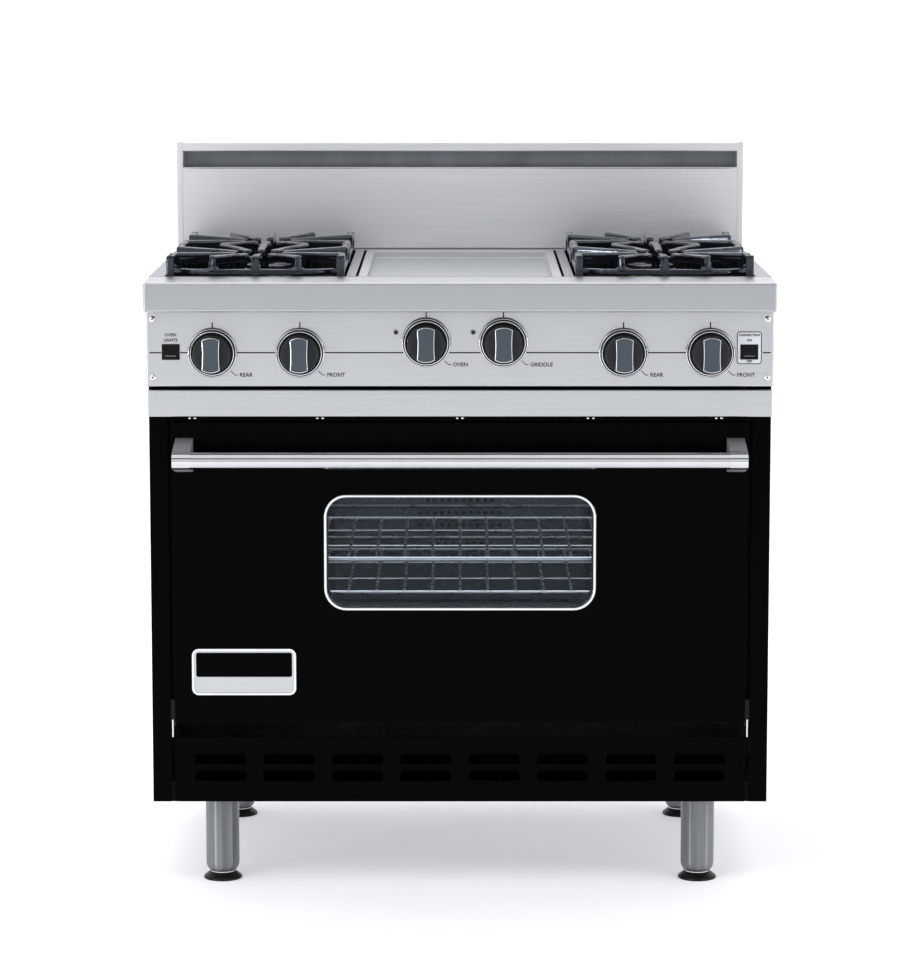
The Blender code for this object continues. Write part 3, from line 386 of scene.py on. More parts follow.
# Studio: place, aim, width, length and power of each light
LIGHTS = {
    "key": ((-2.6, -3.2, 3.6), (0.0, 0.0, 0.6), 3.0, 3.0, 50.0),
    "fill": ((3.0, -2.6, 2.2), (0.0, 0.0, 0.6), 3.0, 3.0, 14.0),
    "rear": ((0.0, 2.6, 3.4), (0.0, 0.0, 0.8), 3.0, 3.0, 30.0),
    "left_strip": ((-3.2, -2.8, 0.6), (-0.357, -0.202, 0.06), 0.16, 1.0, 20.0),
    "right_strip": ((3.3, -1.7, 0.6), (0.357, -0.202, 0.06), 0.12, 1.0, 9.0),
    "oven": ((0.0, -0.12, 0.655), (0.0, 0.0, 0.30), 0.66, 0.16, 0.70),
}
WORLD_COLOUR = (0.97, 0.985, 1.0, 1.0)
WORLD_BAND = (0.02, 0.02, 0.03, 1.0)
WORLD_STRENGTH = 1.06
BAND_EDGES = (-0.03, -0.01, 0.07, 0.10)
FLAG_LOW = 0.43
FLAG_HIGH = 0.64
FLAG_AHEAD = -0.74
FLOOR_GLOW = 0.26
FLOOR_SIZE = 120.0
FLOOR_DARK = (0.90, 0.90, 0.91)
FLOOR_LIGHT = (0.92, 0.92, 0.93)
FLOOR_GLOSS = (0.6, 0.7)
FLOOR_PITCH = 3


def deselect():
    """Leave edit mode and clear the selection."""
    if bpy.context.object is not None and bpy.context.object.mode != "OBJECT":
        bpy.ops.object.mode_set(mode="OBJECT")
    bpy.ops.object.select_all(action="DESELECT")


def pick(piece):
    """Make one piece the only selected and active object."""
    deselect()
    piece.select_set(True)
    bpy.context.view_layer.objects.active = piece


def settle(piece, name):
    """Name a piece and move its place into its mesh."""
    pick(piece)
    piece.name = name
    piece.data.name = name
    bpy.ops.object.transform_apply(location=True, rotation=True, scale=True)
    return piece


def add_block(name, low, high):
    """A box between two corners."""
    deselect()
    low = Vector(low)
    high = Vector(high)
    bpy.ops.mesh.primitive_cube_add(size=1.0, location=(low + high) / 2)
    bpy.ops.transform.resize(value=high - low)
    return settle(bpy.context.object, name)


def add_solid(name, box):
    """A box as large as a CAD node's."""
    low = (box["left"], box["front"], box["bottom"])
    return add_block(name, low, (box["right"], box["back"], box["top"]))


def face_of(box):
    """The width and height of a CAD node's front, and the height of its middle."""
    size = (box["right"] - box["left"], box["top"] - box["bottom"])
    return size, (box["bottom"] + box["top"]) / 2


def add_rod(name, start, end, radius, sides=ROD_SIDES):
    """A straight round bar between two points."""
    deselect()
    start = Vector(start)
    run = Vector(end) - start
    middle = start + run / 2
    bpy.ops.mesh.primitive_cylinder_add(vertices=sides, radius=radius, depth=run.length, location=middle)
    rod = bpy.context.object
    rod.rotation_euler = run.to_track_quat("Z", "Y").to_euler()
    return settle(rod, name)


def add_turned(name, profile, spot, facing=UP, sides=ROUND_SIDES):
    """A round piece: a filled circle extruded ring by ring; the profile holds radius and height."""
    deselect()
    radius, height = profile[0]
    middle = (0, 0, height)
    bpy.ops.mesh.primitive_circle_add(vertices=sides, radius=radius, fill_type="NGON", location=middle)
    bpy.ops.object.transform_apply(location=True)
    bpy.ops.object.mode_set(mode="EDIT")
    bpy.ops.mesh.select_all(action="SELECT")
    for next_radius, next_height in profile[1:]:
        bpy.ops.mesh.extrude_region_move(TRANSFORM_OT_translate={"value": (0, 0, next_height - height)})
        grow = next_radius / radius
        bpy.ops.transform.resize(value=(grow, grow, 1), center_override=(0, 0, next_height))
        radius = next_radius
        height = next_height
    bpy.ops.mesh.select_all(action="SELECT")
    bpy.ops.mesh.normals_make_consistent(inside=False)
    bpy.ops.object.mode_set(mode="OBJECT")
    piece = bpy.context.object
    piece.location = spot
    piece.rotation_euler = facing
    return settle(piece, name)


def round_rectangle(width, height, radius, steps=CORNER_STEPS):
    """A rectangle with quarter-circle corners, about its own centre."""
    points = []
    for index, (sx, sy) in enumerate(((-1, -1), (1, -1), (1, 1), (-1, 1))):
        centre_x = sx * (width / 2 - radius)
        centre_y = sy * (height / 2 - radius)
        for step in range(steps + 1):
            angle = math.pi + (index + step / steps) * math.pi / 2
            points.append((centre_x + radius * math.cos(angle), centre_y + radius * math.sin(angle)))
    return points


def add_outline(name, outlines, thickness, centre, facing=UP, edge=0.0):
    """A flat piece from closed outlines, the later ones holes, with a rounded edge."""
    curve = bpy.data.curves.new(name, "CURVE")
    curve.dimensions = "2D"
    curve.fill_mode = "BOTH"
    curve.extrude = thickness / 2
    for outline in outlines:
        spline = curve.splines.new("POLY")
        spline.points.add(len(outline) - 1)
        for point, (across, up) in zip(spline.points, outline):
            point.co = (across, up, 0, 1)
        spline.use_cyclic_u = True
    piece = bpy.data.objects.new(name, curve)
    piece.location = centre
    piece.rotation_euler = facing
    bpy.context.scene.collection.objects.link(piece)
    pick(piece)
    bpy.ops.object.convert(target="MESH")
    piece = settle(weld(bpy.context.object), name)
    return soften(piece, edge) if edge else piece


def add_wire(name, points, radius, closed=False, steps=WIRE_STEPS):
    """A bent round wire through points."""
    curve = bpy.data.curves.new(name, "CURVE")
    curve.dimensions = "3D"
    curve.bevel_depth = radius
    curve.bevel_resolution = steps
    curve.use_fill_caps = True
    spline = curve.splines.new("POLY")
    spline.points.add(len(points) - 1)
    for point, spot in zip(spline.points, points):
        point.co = (*spot, 1)
    spline.use_cyclic_u = closed
    spline.use_smooth = True
    piece = bpy.data.objects.new(name, curve)
    bpy.context.scene.collection.objects.link(piece)
    pick(piece)
    bpy.ops.object.convert(target="MESH")
    weld(bpy.context.object)
    return settle(bpy.context.object, name)


def weld(piece):
    """Merge doubled points and point every face outwards."""
    pick(piece)
    bpy.ops.object.mode_set(mode="EDIT")
    bpy.ops.mesh.select_all(action="SELECT")
    bpy.ops.mesh.remove_doubles(threshold=WELD)
    bpy.ops.mesh.normals_make_consistent(inside=False)
    bpy.ops.object.mode_set(mode="OBJECT")
    return piece


def modify(piece, kind, **settings):
    """Add one modifier and apply it."""
    pick(piece)
    modifier = piece.modifiers.new(kind.title(), kind)
    for key, value in settings.items():
        setattr(modifier, key, value)
    bpy.ops.object.modifier_apply(modifier=modifier.name)
    return piece


def soften(piece, width, steps=EDGE_STEPS):
    """Round a piece's sharp edges."""
    shape = {"width": width, "segments": steps, "limit_method": "ANGLE", "harden_normals": False}
    return modify(piece, "BEVEL", **shape)


def cut(piece, *cutters):
    """Take cutters out of a piece."""
    for cutter in cutters:
        modify(piece, "BOOLEAN", operation="DIFFERENCE", object=cutter)
        bpy.data.objects.remove(cutter, do_unlink=True)
    return piece


def join(name, pieces):
    """Join pieces into one object."""
    deselect()
    for piece in pieces:
        piece.select_set(True)
    bpy.context.view_layer.objects.active = pieces[0]
    bpy.ops.object.join()
    return settle(bpy.context.object, name)


def copy_to(piece, name, shift):
    """A copy of a piece with its own mesh, moved by a shift."""
    twin = piece.copy()
    twin.data = piece.data.copy()
    twin.data.transform(Matrix.Translation(shift))
    bpy.context.scene.collection.objects.link(twin)
    return settle(twin, name)


def press_faces(piece, chosen, inset, depth):
    """Inset the chosen faces together and push them along their own direction."""
    pick(piece)
    bpy.ops.object.mode_set(mode="EDIT")
    bpy.ops.mesh.select_mode(type="FACE")
    bpy.ops.mesh.select_all(action="DESELECT")
    shape = bmesh.from_edit_mesh(piece.data)
    for face in shape.faces:
        face.select_set(chosen(face))
    bmesh.update_edit_mesh(piece.data)
    bpy.ops.mesh.inset(thickness=inset, depth=depth)
    bpy.ops.object.mode_set(mode="OBJECT")
    return piece


def dress(piece, finish, body, slot, *nodes):
    """Give a piece its finish, the body it moves with and the CAD nodes it stands for."""
    pick(piece)
    bpy.ops.object.shade_smooth_by_angle(angle=SMOOTH_ANGLE)
    modify(piece, "WEIGHTED_NORMAL", keep_sharp=True)
    piece.data.materials.clear()
    piece.data.materials.append(finish)
    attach(piece, body)
    if nodes:
        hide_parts(*nodes)
    return piece


def shaded(name, colour, roughness, metallic=0.0):
    """A new material with the values that are the same all over its surface."""
    material = bpy.data.materials.new(name)
    material.use_nodes = True
    shader = material.node_tree.nodes["Principled BSDF"]
    shader.inputs["Base Color"].default_value = (*colour, 1)
    shader.inputs["Roughness"].default_value = roughness
    shader.inputs["Metallic"].default_value = metallic
    return material, shader


def grain(material, stretch, detail=NOISE_DETAIL, kind="ShaderNodeTexNoise", output="Fac"):
    """A texture over the piece's own coordinates, with its own scale along each axis."""
    tree = material.node_tree
    coordinates = tree.nodes.new("ShaderNodeTexCoord")
    mapping = tree.nodes.new("ShaderNodeMapping")
    mapping.inputs["Scale"].default_value = stretch
    texture = tree.nodes.new(kind)
    texture.inputs["Scale"].default_value = 1.0
    texture.inputs["Detail"].default_value = detail
    tree.links.new(coordinates.outputs["Object"], mapping.inputs["Vector"])
    tree.links.new(mapping.outputs["Vector"], texture.inputs["Vector"])
    return texture.outputs[output]


def vary(material, source, socket, low, high):
    """Let a texture move one of the shader's numbers between two values."""
    tree = material.node_tree
    spread = tree.nodes.new("ShaderNodeMapRange")
    limits = {"From Min": NOISE_SPREAD[0], "From Max": NOISE_SPREAD[1], "To Min": low, "To Max": high}
    for name, value in limits.items():
        spread.inputs[name].default_value = value
    tree.links.new(source, spread.inputs["Value"])
    tree.links.new(spread.outputs["Result"], tree.nodes["Principled BSDF"].inputs[socket])


def tint(material, source, dark, light, spread=NOISE_SPREAD):
    """Let a texture move the base colour between two colours."""
    tree = material.node_tree
    ramp = tree.nodes.new("ShaderNodeValToRGB")
    for stop, place, colour in zip(ramp.color_ramp.elements, spread, (dark, light)):
        stop.position = place
        stop.color = (*colour, 1)
    tree.links.new(source, ramp.inputs["Fac"])
    tree.links.new(ramp.outputs["Color"], tree.nodes["Principled BSDF"].inputs["Base Color"])


def emboss(material, source, strength, distance):
    """Let a texture raise the surface."""
    tree = material.node_tree
    bump = tree.nodes.new("ShaderNodeBump")
    bump.inputs["Strength"].default_value = strength
    bump.inputs["Distance"].default_value = distance
    tree.links.new(source, bump.inputs["Height"])
    tree.links.new(bump.outputs["Normal"], tree.nodes["Principled BSDF"].inputs["Normal"])


def compare(tree, source, operation, limit):
    """One where a value passes a test against a limit, nought elsewhere."""
    test = tree.nodes.new("ShaderNodeMath")
    test.operation = operation
    test.inputs[1].default_value = limit
    tree.links.new(source, test.inputs[0])
    return test.outputs["Value"]


def both(tree, first, second):
    """One where two masks are one."""
    product = tree.nodes.new("ShaderNodeMath")
    product.operation = "MULTIPLY"
    tree.links.new(first, product.inputs[0])
    tree.links.new(second, product.inputs[1])
    return product.outputs["Value"]


def choose(tree, kind, mask, plain, other):
    """A plain value or socket, and another one where a mask is one."""
    mix = tree.nodes.new("ShaderNodeMix")
    mix.data_type = MIX_TYPES[kind]
    plugs = {plug.identifier: plug for plug in mix.inputs}
    for plug, source in (("Factor_Float", mask), ("A_" + kind, plain), ("B_" + kind, other)):
        if isinstance(source, bpy.types.NodeSocket):
            tree.links.new(source, plugs[plug])
        else:
            plugs[plug].default_value = source
    return {plug.identifier: plug for plug in mix.outputs}["Result_" + kind]


def under(material, axis, limit, size_only=False):
    """One where a coordinate of the piece, or only its size, is under a limit, nought elsewhere."""
    tree = material.node_tree
    coordinates = tree.nodes.new("ShaderNodeTexCoord")
    parts = tree.nodes.new("ShaderNodeSeparateXYZ")
    tree.links.new(coordinates.outputs["Object"], parts.inputs["Vector"])
    source = parts.outputs[axis]
    if size_only:
        unsigned = tree.nodes.new("ShaderNodeMath")
        unsigned.operation = "ABSOLUTE"
        tree.links.new(source, unsigned.inputs[0])
        source = unsigned.outputs["Value"]
    return compare(tree, source, "LESS_THAN", limit)


def refinish(material, mask, colour, roughness, metallic):
    """Where a mask is one the piece has another finish: colour, roughness and metal change together."""
    tree = material.node_tree
    shader = tree.nodes["Principled BSDF"]
    finish = {"Base Color": (*colour, 1), "Roughness": roughness, "Metallic": metallic}
    for name, value in finish.items():
        socket = shader.inputs[name]
        plain = socket.links[0].from_socket if socket.is_linked else socket.default_value
        kind = "Color" if name == "Base Color" else "Float"
        tree.links.new(choose(tree, kind, mask, plain, value), socket)


def shade_front(material, node, depth):
    """Dull black on the front of a CAD node, down to a depth: painted shade for a front that sits in a
    dark gap.
    """
    material.node_tree.nodes["Principled BSDF"].inputs["Specular IOR Level"].default_value = FRONT_SHADE_LEVEL
    mask = under(material, "Y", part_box(node)[0].y + depth)
    refinish(material, mask, SHADE_BLACK, SHADE_ROUGHNESS, 0.0)


def brushed(name, stretch, dark, light, low, high, relief=BRUSH_RELIEF):
    """Brushed steel: fine streaks in colour, gloss and height, along the axis with the least stretch."""
    material, _ = shaded(name, light, low, 1.0)
    streaks = grain(material, stretch, BRUSH_DETAIL)
    tint(material, streaks, dark, light)
    vary(material, streaks, "Roughness", low, high)
    if relief:
        emboss(material, streaks, relief, BRUSH_HEIGHT)
    return material


def turn_grain(material):
    """Grain that runs round an upright tube, so that its highlights are long upright lines."""
    tree = material.node_tree
    shader = tree.nodes["Principled BSDF"]
    shader.inputs["Anisotropic"].default_value = TURNED_ANISOTROPY
    shader.inputs["Anisotropic Rotation"].default_value = QUARTER_TURN
    tangent = tree.nodes.new("ShaderNodeTangent")
    tangent.direction_type = "RADIAL"
    tangent.axis = "Z"
    tree.links.new(tangent.outputs["Tangent"], shader.inputs["Tangent"])


def enamel(name, colour, level, low, high):
    """Gloss enamel with a faint orange peel; the level sets how much it mirrors head on."""
    material, shader = shaded(name, colour, low)
    shader.inputs["Specular IOR Level"].default_value = level
    vary(material, grain(material, CLOUD_PITCH), "Roughness", low, high)
    emboss(material, grain(material, PEEL_PITCH), PEEL_RELIEF, PEEL_HEIGHT)
    return material


def polished(name, colour, low, high):
    """Polished metal with faint wiping marks."""
    material, _ = shaded(name, colour, low, 1.0)
    marks = grain(material, WIPE_PITCH, WIPE_DETAIL)
    vary(material, marks, "Roughness", low, high)
    tint(material, marks, tuple(WIPE_SHADE * part for part in colour), colour)
    return material


def moulded(name, dark, light, low, high, pitch, level=HALF_MIRROR):
    """Moulded plastic, rubber or ink with a fine even texture; the level is as for enamel."""
    material, shader = shaded(name, light, low)
    shader.inputs["Specular IOR Level"].default_value = level
    texture = grain(material, (pitch, pitch, pitch), MOULD_DETAIL)
    tint(material, texture, dark, light, WIDE_SPREAD)
    vary(material, texture, "Roughness", low, high)
    emboss(material, texture, MOULD_RELIEF, MOULD_HEIGHT)
    return material


def cast_iron(name):
    """Enamelled cast iron: faintly pebbled, glossy on the high spots."""
    material, shader = shaded(name, IRON_LIGHT, IRON_GLOSS[0])
    shader.inputs["Specular IOR Level"].default_value = IRON_LEVEL
    shader.inputs["Specular Tint"].default_value = IRON_SHEEN
    pebbles = grain(material, PEBBLE_PITCH)
    tint(material, grain(material, IRON_PITCH), IRON_DARK, IRON_LIGHT)
    vary(material, pebbles, "Roughness", *IRON_GLOSS)
    emboss(material, pebbles, PEBBLE_RELIEF, PEBBLE_HEIGHT)
    return material


def speckled(name, ground, fleck, shine):
    """Oven porcelain: pale flecks on a blue-grey ground."""
    material, _ = shaded(name, ground, shine)
    flecks = grain(material, FLECK_PITCH, FLECK_DETAIL)
    tint(material, flecks, ground, fleck, FLECK_SPREAD)
    vary(material, grain(material, GLAZE_PITCH), "Roughness", shine, shine + GLAZE_SPREAD)
    emboss(material, flecks, FLECK_RELIEF, FLECK_HEIGHT)
    return material


def spangled(name, dark, light):
    """Galvanised sheet: zinc crystals that differ in shade and gloss."""
    material, _ = shaded(name, light, ZINC_GLOSS[0], 1.0)
    crystals = grain(material, CRYSTAL_PITCH, CRYSTAL_DETAIL, "ShaderNodeTexVoronoi", "Color")
    tint(material, crystals, dark, light, WIDE_SPREAD)
    vary(material, grain(material, DULL_PITCH), "Roughness", *ZINC_GLOSS)
    return material


def tinted_pane(name, colour):
    """Dark glass that the oven shows through, with faint smears."""
    material, shader = shaded(name, colour, SMEAR_GLOSS[0])
    shader.inputs["Transmission Weight"].default_value = 1.0
    shader.inputs["IOR"].default_value = GLASS_BEND
    vary(material, grain(material, SMEAR_PITCH), "Roughness", *SMEAR_GLOSS)
    return material


# Finishes: dark and light colours, then the limits of the roughness
HANDLE_SHINE = (0.64, 0.65, 0.67)
NOSE_GLOSS = 0.07
# The ledge's front face is darker than its top: painted shade.
LEDGE_FRONT_SHADE = (0.44, 0.45, 0.465)
LEDGE_FACE_GLOSS = 0.32
WELL_BLACK = (0.005, 0.005, 0.006)
WELL_GLOSS = 0.22
OVEN_GROUND = (0.046, 0.068, 0.094)
OVEN_FLECK = (0.15, 0.19, 0.23)
OVEN_SHINE = 0.42
# Zinc for the base pan and heat shield, whose fronts get painted shade.
FRONT_SHADED_ZINC = ((0.34, 0.35, 0.37), (0.50, 0.51, 0.53))
STEEL = brushed("brushed_stainless", ALONG_WIDTH, (0.52, 0.53, 0.545), (0.57, 0.582, 0.60), *SATIN_GLOSS)
LEDGE_COLOURS = ((0.53, 0.54, 0.555), (0.58, 0.592, 0.61))
LEDGE_STEEL = brushed("brushed_ledge", ALONG_WIDTH, *LEDGE_COLOURS, *SATIN_GLOSS)
# The ledge's front face gets a darker colour and its underside dull black: painted shade.
LEDGE_FACE = under(LEDGE_STEEL, "Y", LEDGE["front"] + LEDGE_FACE_DEPTH)
LEDGE_UNDERSIDE_SHADE = under(LEDGE_STEEL, "Z", LEDGE["bottom"] + SKIN)
refinish(LEDGE_STEEL, LEDGE_FACE, LEDGE_FRONT_SHADE, LEDGE_FACE_GLOSS, 1.0)
refinish(LEDGE_STEEL, LEDGE_UNDERSIDE_SHADE, SHADE_BLACK, SHADE_ROUGHNESS, 0.0)
# A lighter copy of the brushed stainless for the backguard and its end caps: painted light.
LIT_GUARD_COLOURS = ((0.66, 0.67, 0.685), (0.73, 0.74, 0.755))
LIT_GUARD_STEEL = brushed("brushed_backguard_lit", ALONG_WIDTH, *LIT_GUARD_COLOURS, 0.42, 0.50)
# The legs get a much darker copy of the brushed stainless with strong upright streaks in colour: painted
# shade and painted reflections.
LEG_STEEL = brushed("brushed_leg_with_painted_reflections", DOWN_LEG, (0.16, 0.17, 0.185), (0.30, 0.31, 0.325), 0.36, 0.42)
turn_grain(LEG_STEEL)
GRIDDLE_STEEL = ((0.57, 0.58, 0.59), (0.62, 0.63, 0.64), 0.28, 0.34)
GROUND_STEEL = brushed("ground_griddle_steel", ALONG_GRIDDLE, *GRIDDLE_STEEL, relief=0.0)
# The deck gets a darker, bluer copy of the brushed stainless: painted shade with a bluish painted
# reflection.
SHADED_DECK_STEEL = brushed("brushed_deck_shaded", ALONG_WIDTH, (0.34, 0.34, 0.375), (0.38, 0.38, 0.415), *SATIN_GLOSS)
DECK_WELLS = both(
    SHADED_DECK_STEEL.node_tree,
    under(SHADED_DECK_STEEL, "Z", DECK["top"] - WELL_LIP),
    under(SHADED_DECK_STEEL, "X", DECK["right"] - WELL_WALL, size_only=True),
)
refinish(SHADED_DECK_STEEL, DECK_WELLS, WELL_BLACK, WELL_GLOSS, 0.0)
SATIN_CHROME = brushed("satin_chrome", ALONG_WIDTH, (0.44, 0.45, 0.47), (0.50, 0.51, 0.53), 0.46, 0.56)
BRACKET_NOSE = under(SATIN_CHROME, "Y", HANDLE["front"] + HANDLE_NOSE)
refinish(SATIN_CHROME, BRACKET_NOSE, HANDLE_SHINE, NOSE_GLOSS, 1.0)
ENAMEL = enamel("gloss_black_enamel", (0.0010, 0.0010, 0.0012), 0.018, 0.06, 0.12)
LENS = enamel("indicator_lens", (0.010, 0.002, 0.010), HALF_MIRROR, 0.08, 0.14)
CHROME = polished("polished_chrome", (0.76, 0.77, 0.79), 0.04, 0.10)
HANDLE_CHROME = polished("handle_chrome", HANDLE_SHINE, 0.04, 0.10)
BEZEL_CHROME = polished("bezel_chrome", HANDLE_SHINE, 0.08, 0.14)
RACK_CHROME = polished("rack_wire_chrome", (0.80, 0.81, 0.83), 0.22, 0.34)
BRASS = polished("heat_darkened_brass", (0.30, 0.22, 0.11), 0.26, 0.40)
IRON = cast_iron("enamelled_cast_iron")
# Dark grey lining whose broad upright light and dark bands are painted blurred reflections.
FLUE = brushed("flue_sheet_painted_reflections", ALONG_FLUE, (0.13, 0.14, 0.15), (0.22, 0.23, 0.25), 0.30, 0.42)
PORCELAIN = speckled("oven_porcelain", OVEN_GROUND, OVEN_FLECK, OVEN_SHINE)
OVEN_MOUTH = speckled("oven_liner_porcelain", OVEN_GROUND, OVEN_FLECK, OVEN_SHINE)
# The liner's front rim gets dull black: painted shade.
shade_front(OVEN_MOUTH, "oven_liner", MOUTH_RIM)
ZINC = spangled("galvanised_sheet", (0.36, 0.37, 0.39), (0.45, 0.46, 0.48))
# A much darker copy of the galvanised sheet, for the fan wheel.
DARK_ZINC = spangled("darkened_zinc", (0.030, 0.034, 0.040), (0.060, 0.066, 0.075))
BASE_ZINC = spangled("base_zinc_with_front_shade", *FRONT_SHADED_ZINC)
# The fronts of the base pan and heat shield get dull black: painted shade.
shade_front(BASE_ZINC, "base_pan", FRONT_SHADE_DEPTH)
SHIELD_ZINC = spangled("shield_zinc_with_front_shade", *FRONT_SHADED_ZINC)
shade_front(SHIELD_ZINC, "heat_shield", FRONT_SHADE_DEPTH)
GLASS = tinted_pane("tinted_oven_glass", (0.62, 0.68, 0.74))

# Moulded finishes: dark and light colours, limits of the roughness, pitch, and how much they mirror
KNOB_BLACK = moulded("knob_black", (0.014, 0.015, 0.017), (0.018, 0.019, 0.021), 0.28, 0.34, 300, 0.22)
GRIP_SLATE = moulded("grip_slate", (0.044, 0.056, 0.072), (0.050, 0.063, 0.080), 0.28, 0.34, 180, 0.3)
SWITCH_BLACK = moulded("switch_black", (0.003, 0.003, 0.003), (0.006, 0.006, 0.006), 0.22, 0.32, 300, 0.15)
# Grey for the rockers' painted highlight line.
HIGHLIGHT_GREY = moulded("switch_highlight_grey", (0.22, 0.22, 0.21), (0.30, 0.30, 0.29), 0.3, 0.4, 300)
LABEL_PALE = moulded("label_pale", (0.66, 0.68, 0.72), (0.74, 0.76, 0.80), 0.35, 0.45, 200)
INK = moulded("panel_ink", (0.004, 0.004, 0.005), (0.008, 0.008, 0.009), 0.45, 0.60, 500, 0.1)
CERAMIC = moulded("igniter_ceramic", (0.62, 0.60, 0.55), (0.74, 0.72, 0.68), 0.35, 0.5, 220)
RUBBER = moulded("foot_rubber", (0.003, 0.003, 0.003), (0.007, 0.007, 0.007), 0.25, 0.36, 240, 0.2)
GASKET = moulded("door_gasket_weave", (0.003, 0.003, 0.003), (0.008, 0.008, 0.008), 0.7, 0.85, 420)

SLOT_FINISHES = {
    "black_enamel": ENAMEL,
    "stainless_steel": STEEL,
    "chrome": CHROME,
    "cast_iron_enamel": IRON,
    "black_plastic": KNOB_BLACK,
    "tinted_glass": GLASS,
    "oven_porcelain": PORCELAIN,
    "galvanised_steel": ZINC,
    "brass": BRASS,
    "black_rubber": RUBBER,
}
OWN_FINISHES = {
    "cooktop_deck": SHADED_DECK_STEEL,
    "oven_liner": OVEN_MOUTH,
    "door_gasket": GASKET,
    "base_pan": BASE_ZINC,
    "heat_shield": SHIELD_ZINC,
    "fan_wheel": DARK_ZINC,
    # The door hinges get black: painted shade, for metal hinges that sit in the dark gap beside the door.
    "left_door_hinge": SWITCH_BLACK,
    "right_door_hinge": SWITCH_BLACK,
}


def dress_frame():
    """Give every CAD node its own finish or that of its slot; replaced nodes are hidden later."""
    for part in frame["record"]["subparts"]:
        node = frame["nodes"][part["node"]]
        finish = OWN_FINISHES.get(part["node"], SLOT_FINISHES[part["material_slot"]])
        node.data.materials.clear()
        node.data.materials.append(finish)


def ledge():
    """The landing ledge with its bullnose."""
    shelf = add_solid("ledge", LEDGE)
    soften(shelf, LEDGE_ROUNDING, BULLNOSE_STEPS)
    dress(shelf, LEDGE_STEEL, "range_body", "stainless_steel", "landing_ledge")


def tray():
    """The drip tray: a thin pan with a rolled rim behind its stainless strip."""
    strip_low = (STRIP["left"], STRIP["front"], STRIP["top"] - STRIP_HEIGHT)
    strip_high = (STRIP["right"], STRIP["front"] + STRIP_THICK, STRIP["top"])
    strip = add_block("tray_strip", strip_low, strip_high)
    soften(strip, STRIP_ROUNDING)
    pan_left = STRIP["left"] + TRAY_INSET
    pan_right = STRIP["right"] - TRAY_INSET
    pan_front = STRIP["front"] + STRIP_THICK / 2
    rim_z = STRIP["bottom"] + TRAY_HEIGHT
    pan_low = (pan_left, pan_front, STRIP["bottom"])
    pan = add_block("tray_pan", pan_low, (pan_right, STRIP["back"], rim_z))
    press_faces(pan, lambda face: face.normal.z > ALIGNED, SHEET, SHEET - TRAY_HEIGHT)
    rim = [
        (pan_left + TRAY_BEAD, pan_front + STRIP_THICK, rim_z),
        (pan_left + TRAY_BEAD, STRIP["back"] - TRAY_BEAD, rim_z),
        (pan_right - TRAY_BEAD, STRIP["back"] - TRAY_BEAD, rim_z),
        (pan_right - TRAY_BEAD, pan_front + STRIP_THICK, rim_z),
    ]
    bead = add_wire("tray_bead", rim, TRAY_BEAD)
    dress(strip, STEEL, "drip_tray", "stainless_steel", "drip_tray")
    # The pan and its rim get black enamel: painted shade, for a steel pan that sits in shadow behind the
    # strip.
    dress(join("drip_tray_pan", [pan, bead]), ENAMEL, "drip_tray", "black_enamel")


def control_panel():
    """The stainless control panel with pockets for its two switches, and its screws."""
    face = add_solid("panel", PANEL)
    soften(face, PANEL_ROUNDING)
    for name in SWITCHES:
        low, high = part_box(name)
        hole_low = (low.x - SWITCH_ROOM, PANEL["front"] - SWITCH_ROOM, low.z - SWITCH_ROOM)
        hole_high = (high.x + SWITCH_ROOM, high.y + SWITCH_ROOM, high.z + SWITCH_ROOM)
        cut(face, add_block("switch_pocket", hole_low, hole_high))
    dress(face, STEEL, "range_body", "stainless_steel", "control_panel")
    heads = []
    recess_shades = []
    for side in (-1, 1):
        for z in (PANEL["top"] - SCREW_DROP, PANEL["bottom"] + SCREW_LIFT):
            place = (side * (PANEL["right"] - SCREW_INSET), PANEL["front"], z)
            heads.append(screw("panel_screw", place))
            # A black disc at the bottom of each cross recess: painted shade.
            recess_shades.append(add_turned("screw_recess_shade", SCREW_SHADE_PROFILE, place, FRONT, SMALL_SIDES))
    dress(join("panel_screws", heads), CHROME, "range_body", "chrome")
    dress(join("panel_screw_recess_shade", recess_shades), SWITCH_BLACK, "range_body", "black_plastic")


def screw(name, place):
    """A round-head screw with a cross recess."""
    x, y, z = place
    head = add_turned(name, SCREW_PROFILE, place, FRONT, SCREW_SIDES)
    depth = SCREW_PROFILE[-1][1]
    for half_x, half_z in ((SCREW_CROSS, SCREW_SLIT), (SCREW_SLIT, SCREW_CROSS)):
        low = (x - half_x, y - 2 * depth, z - half_z)
        cut(head, add_block("recess", low, (x + half_x, y - depth / 2, z + half_z)))
    return head


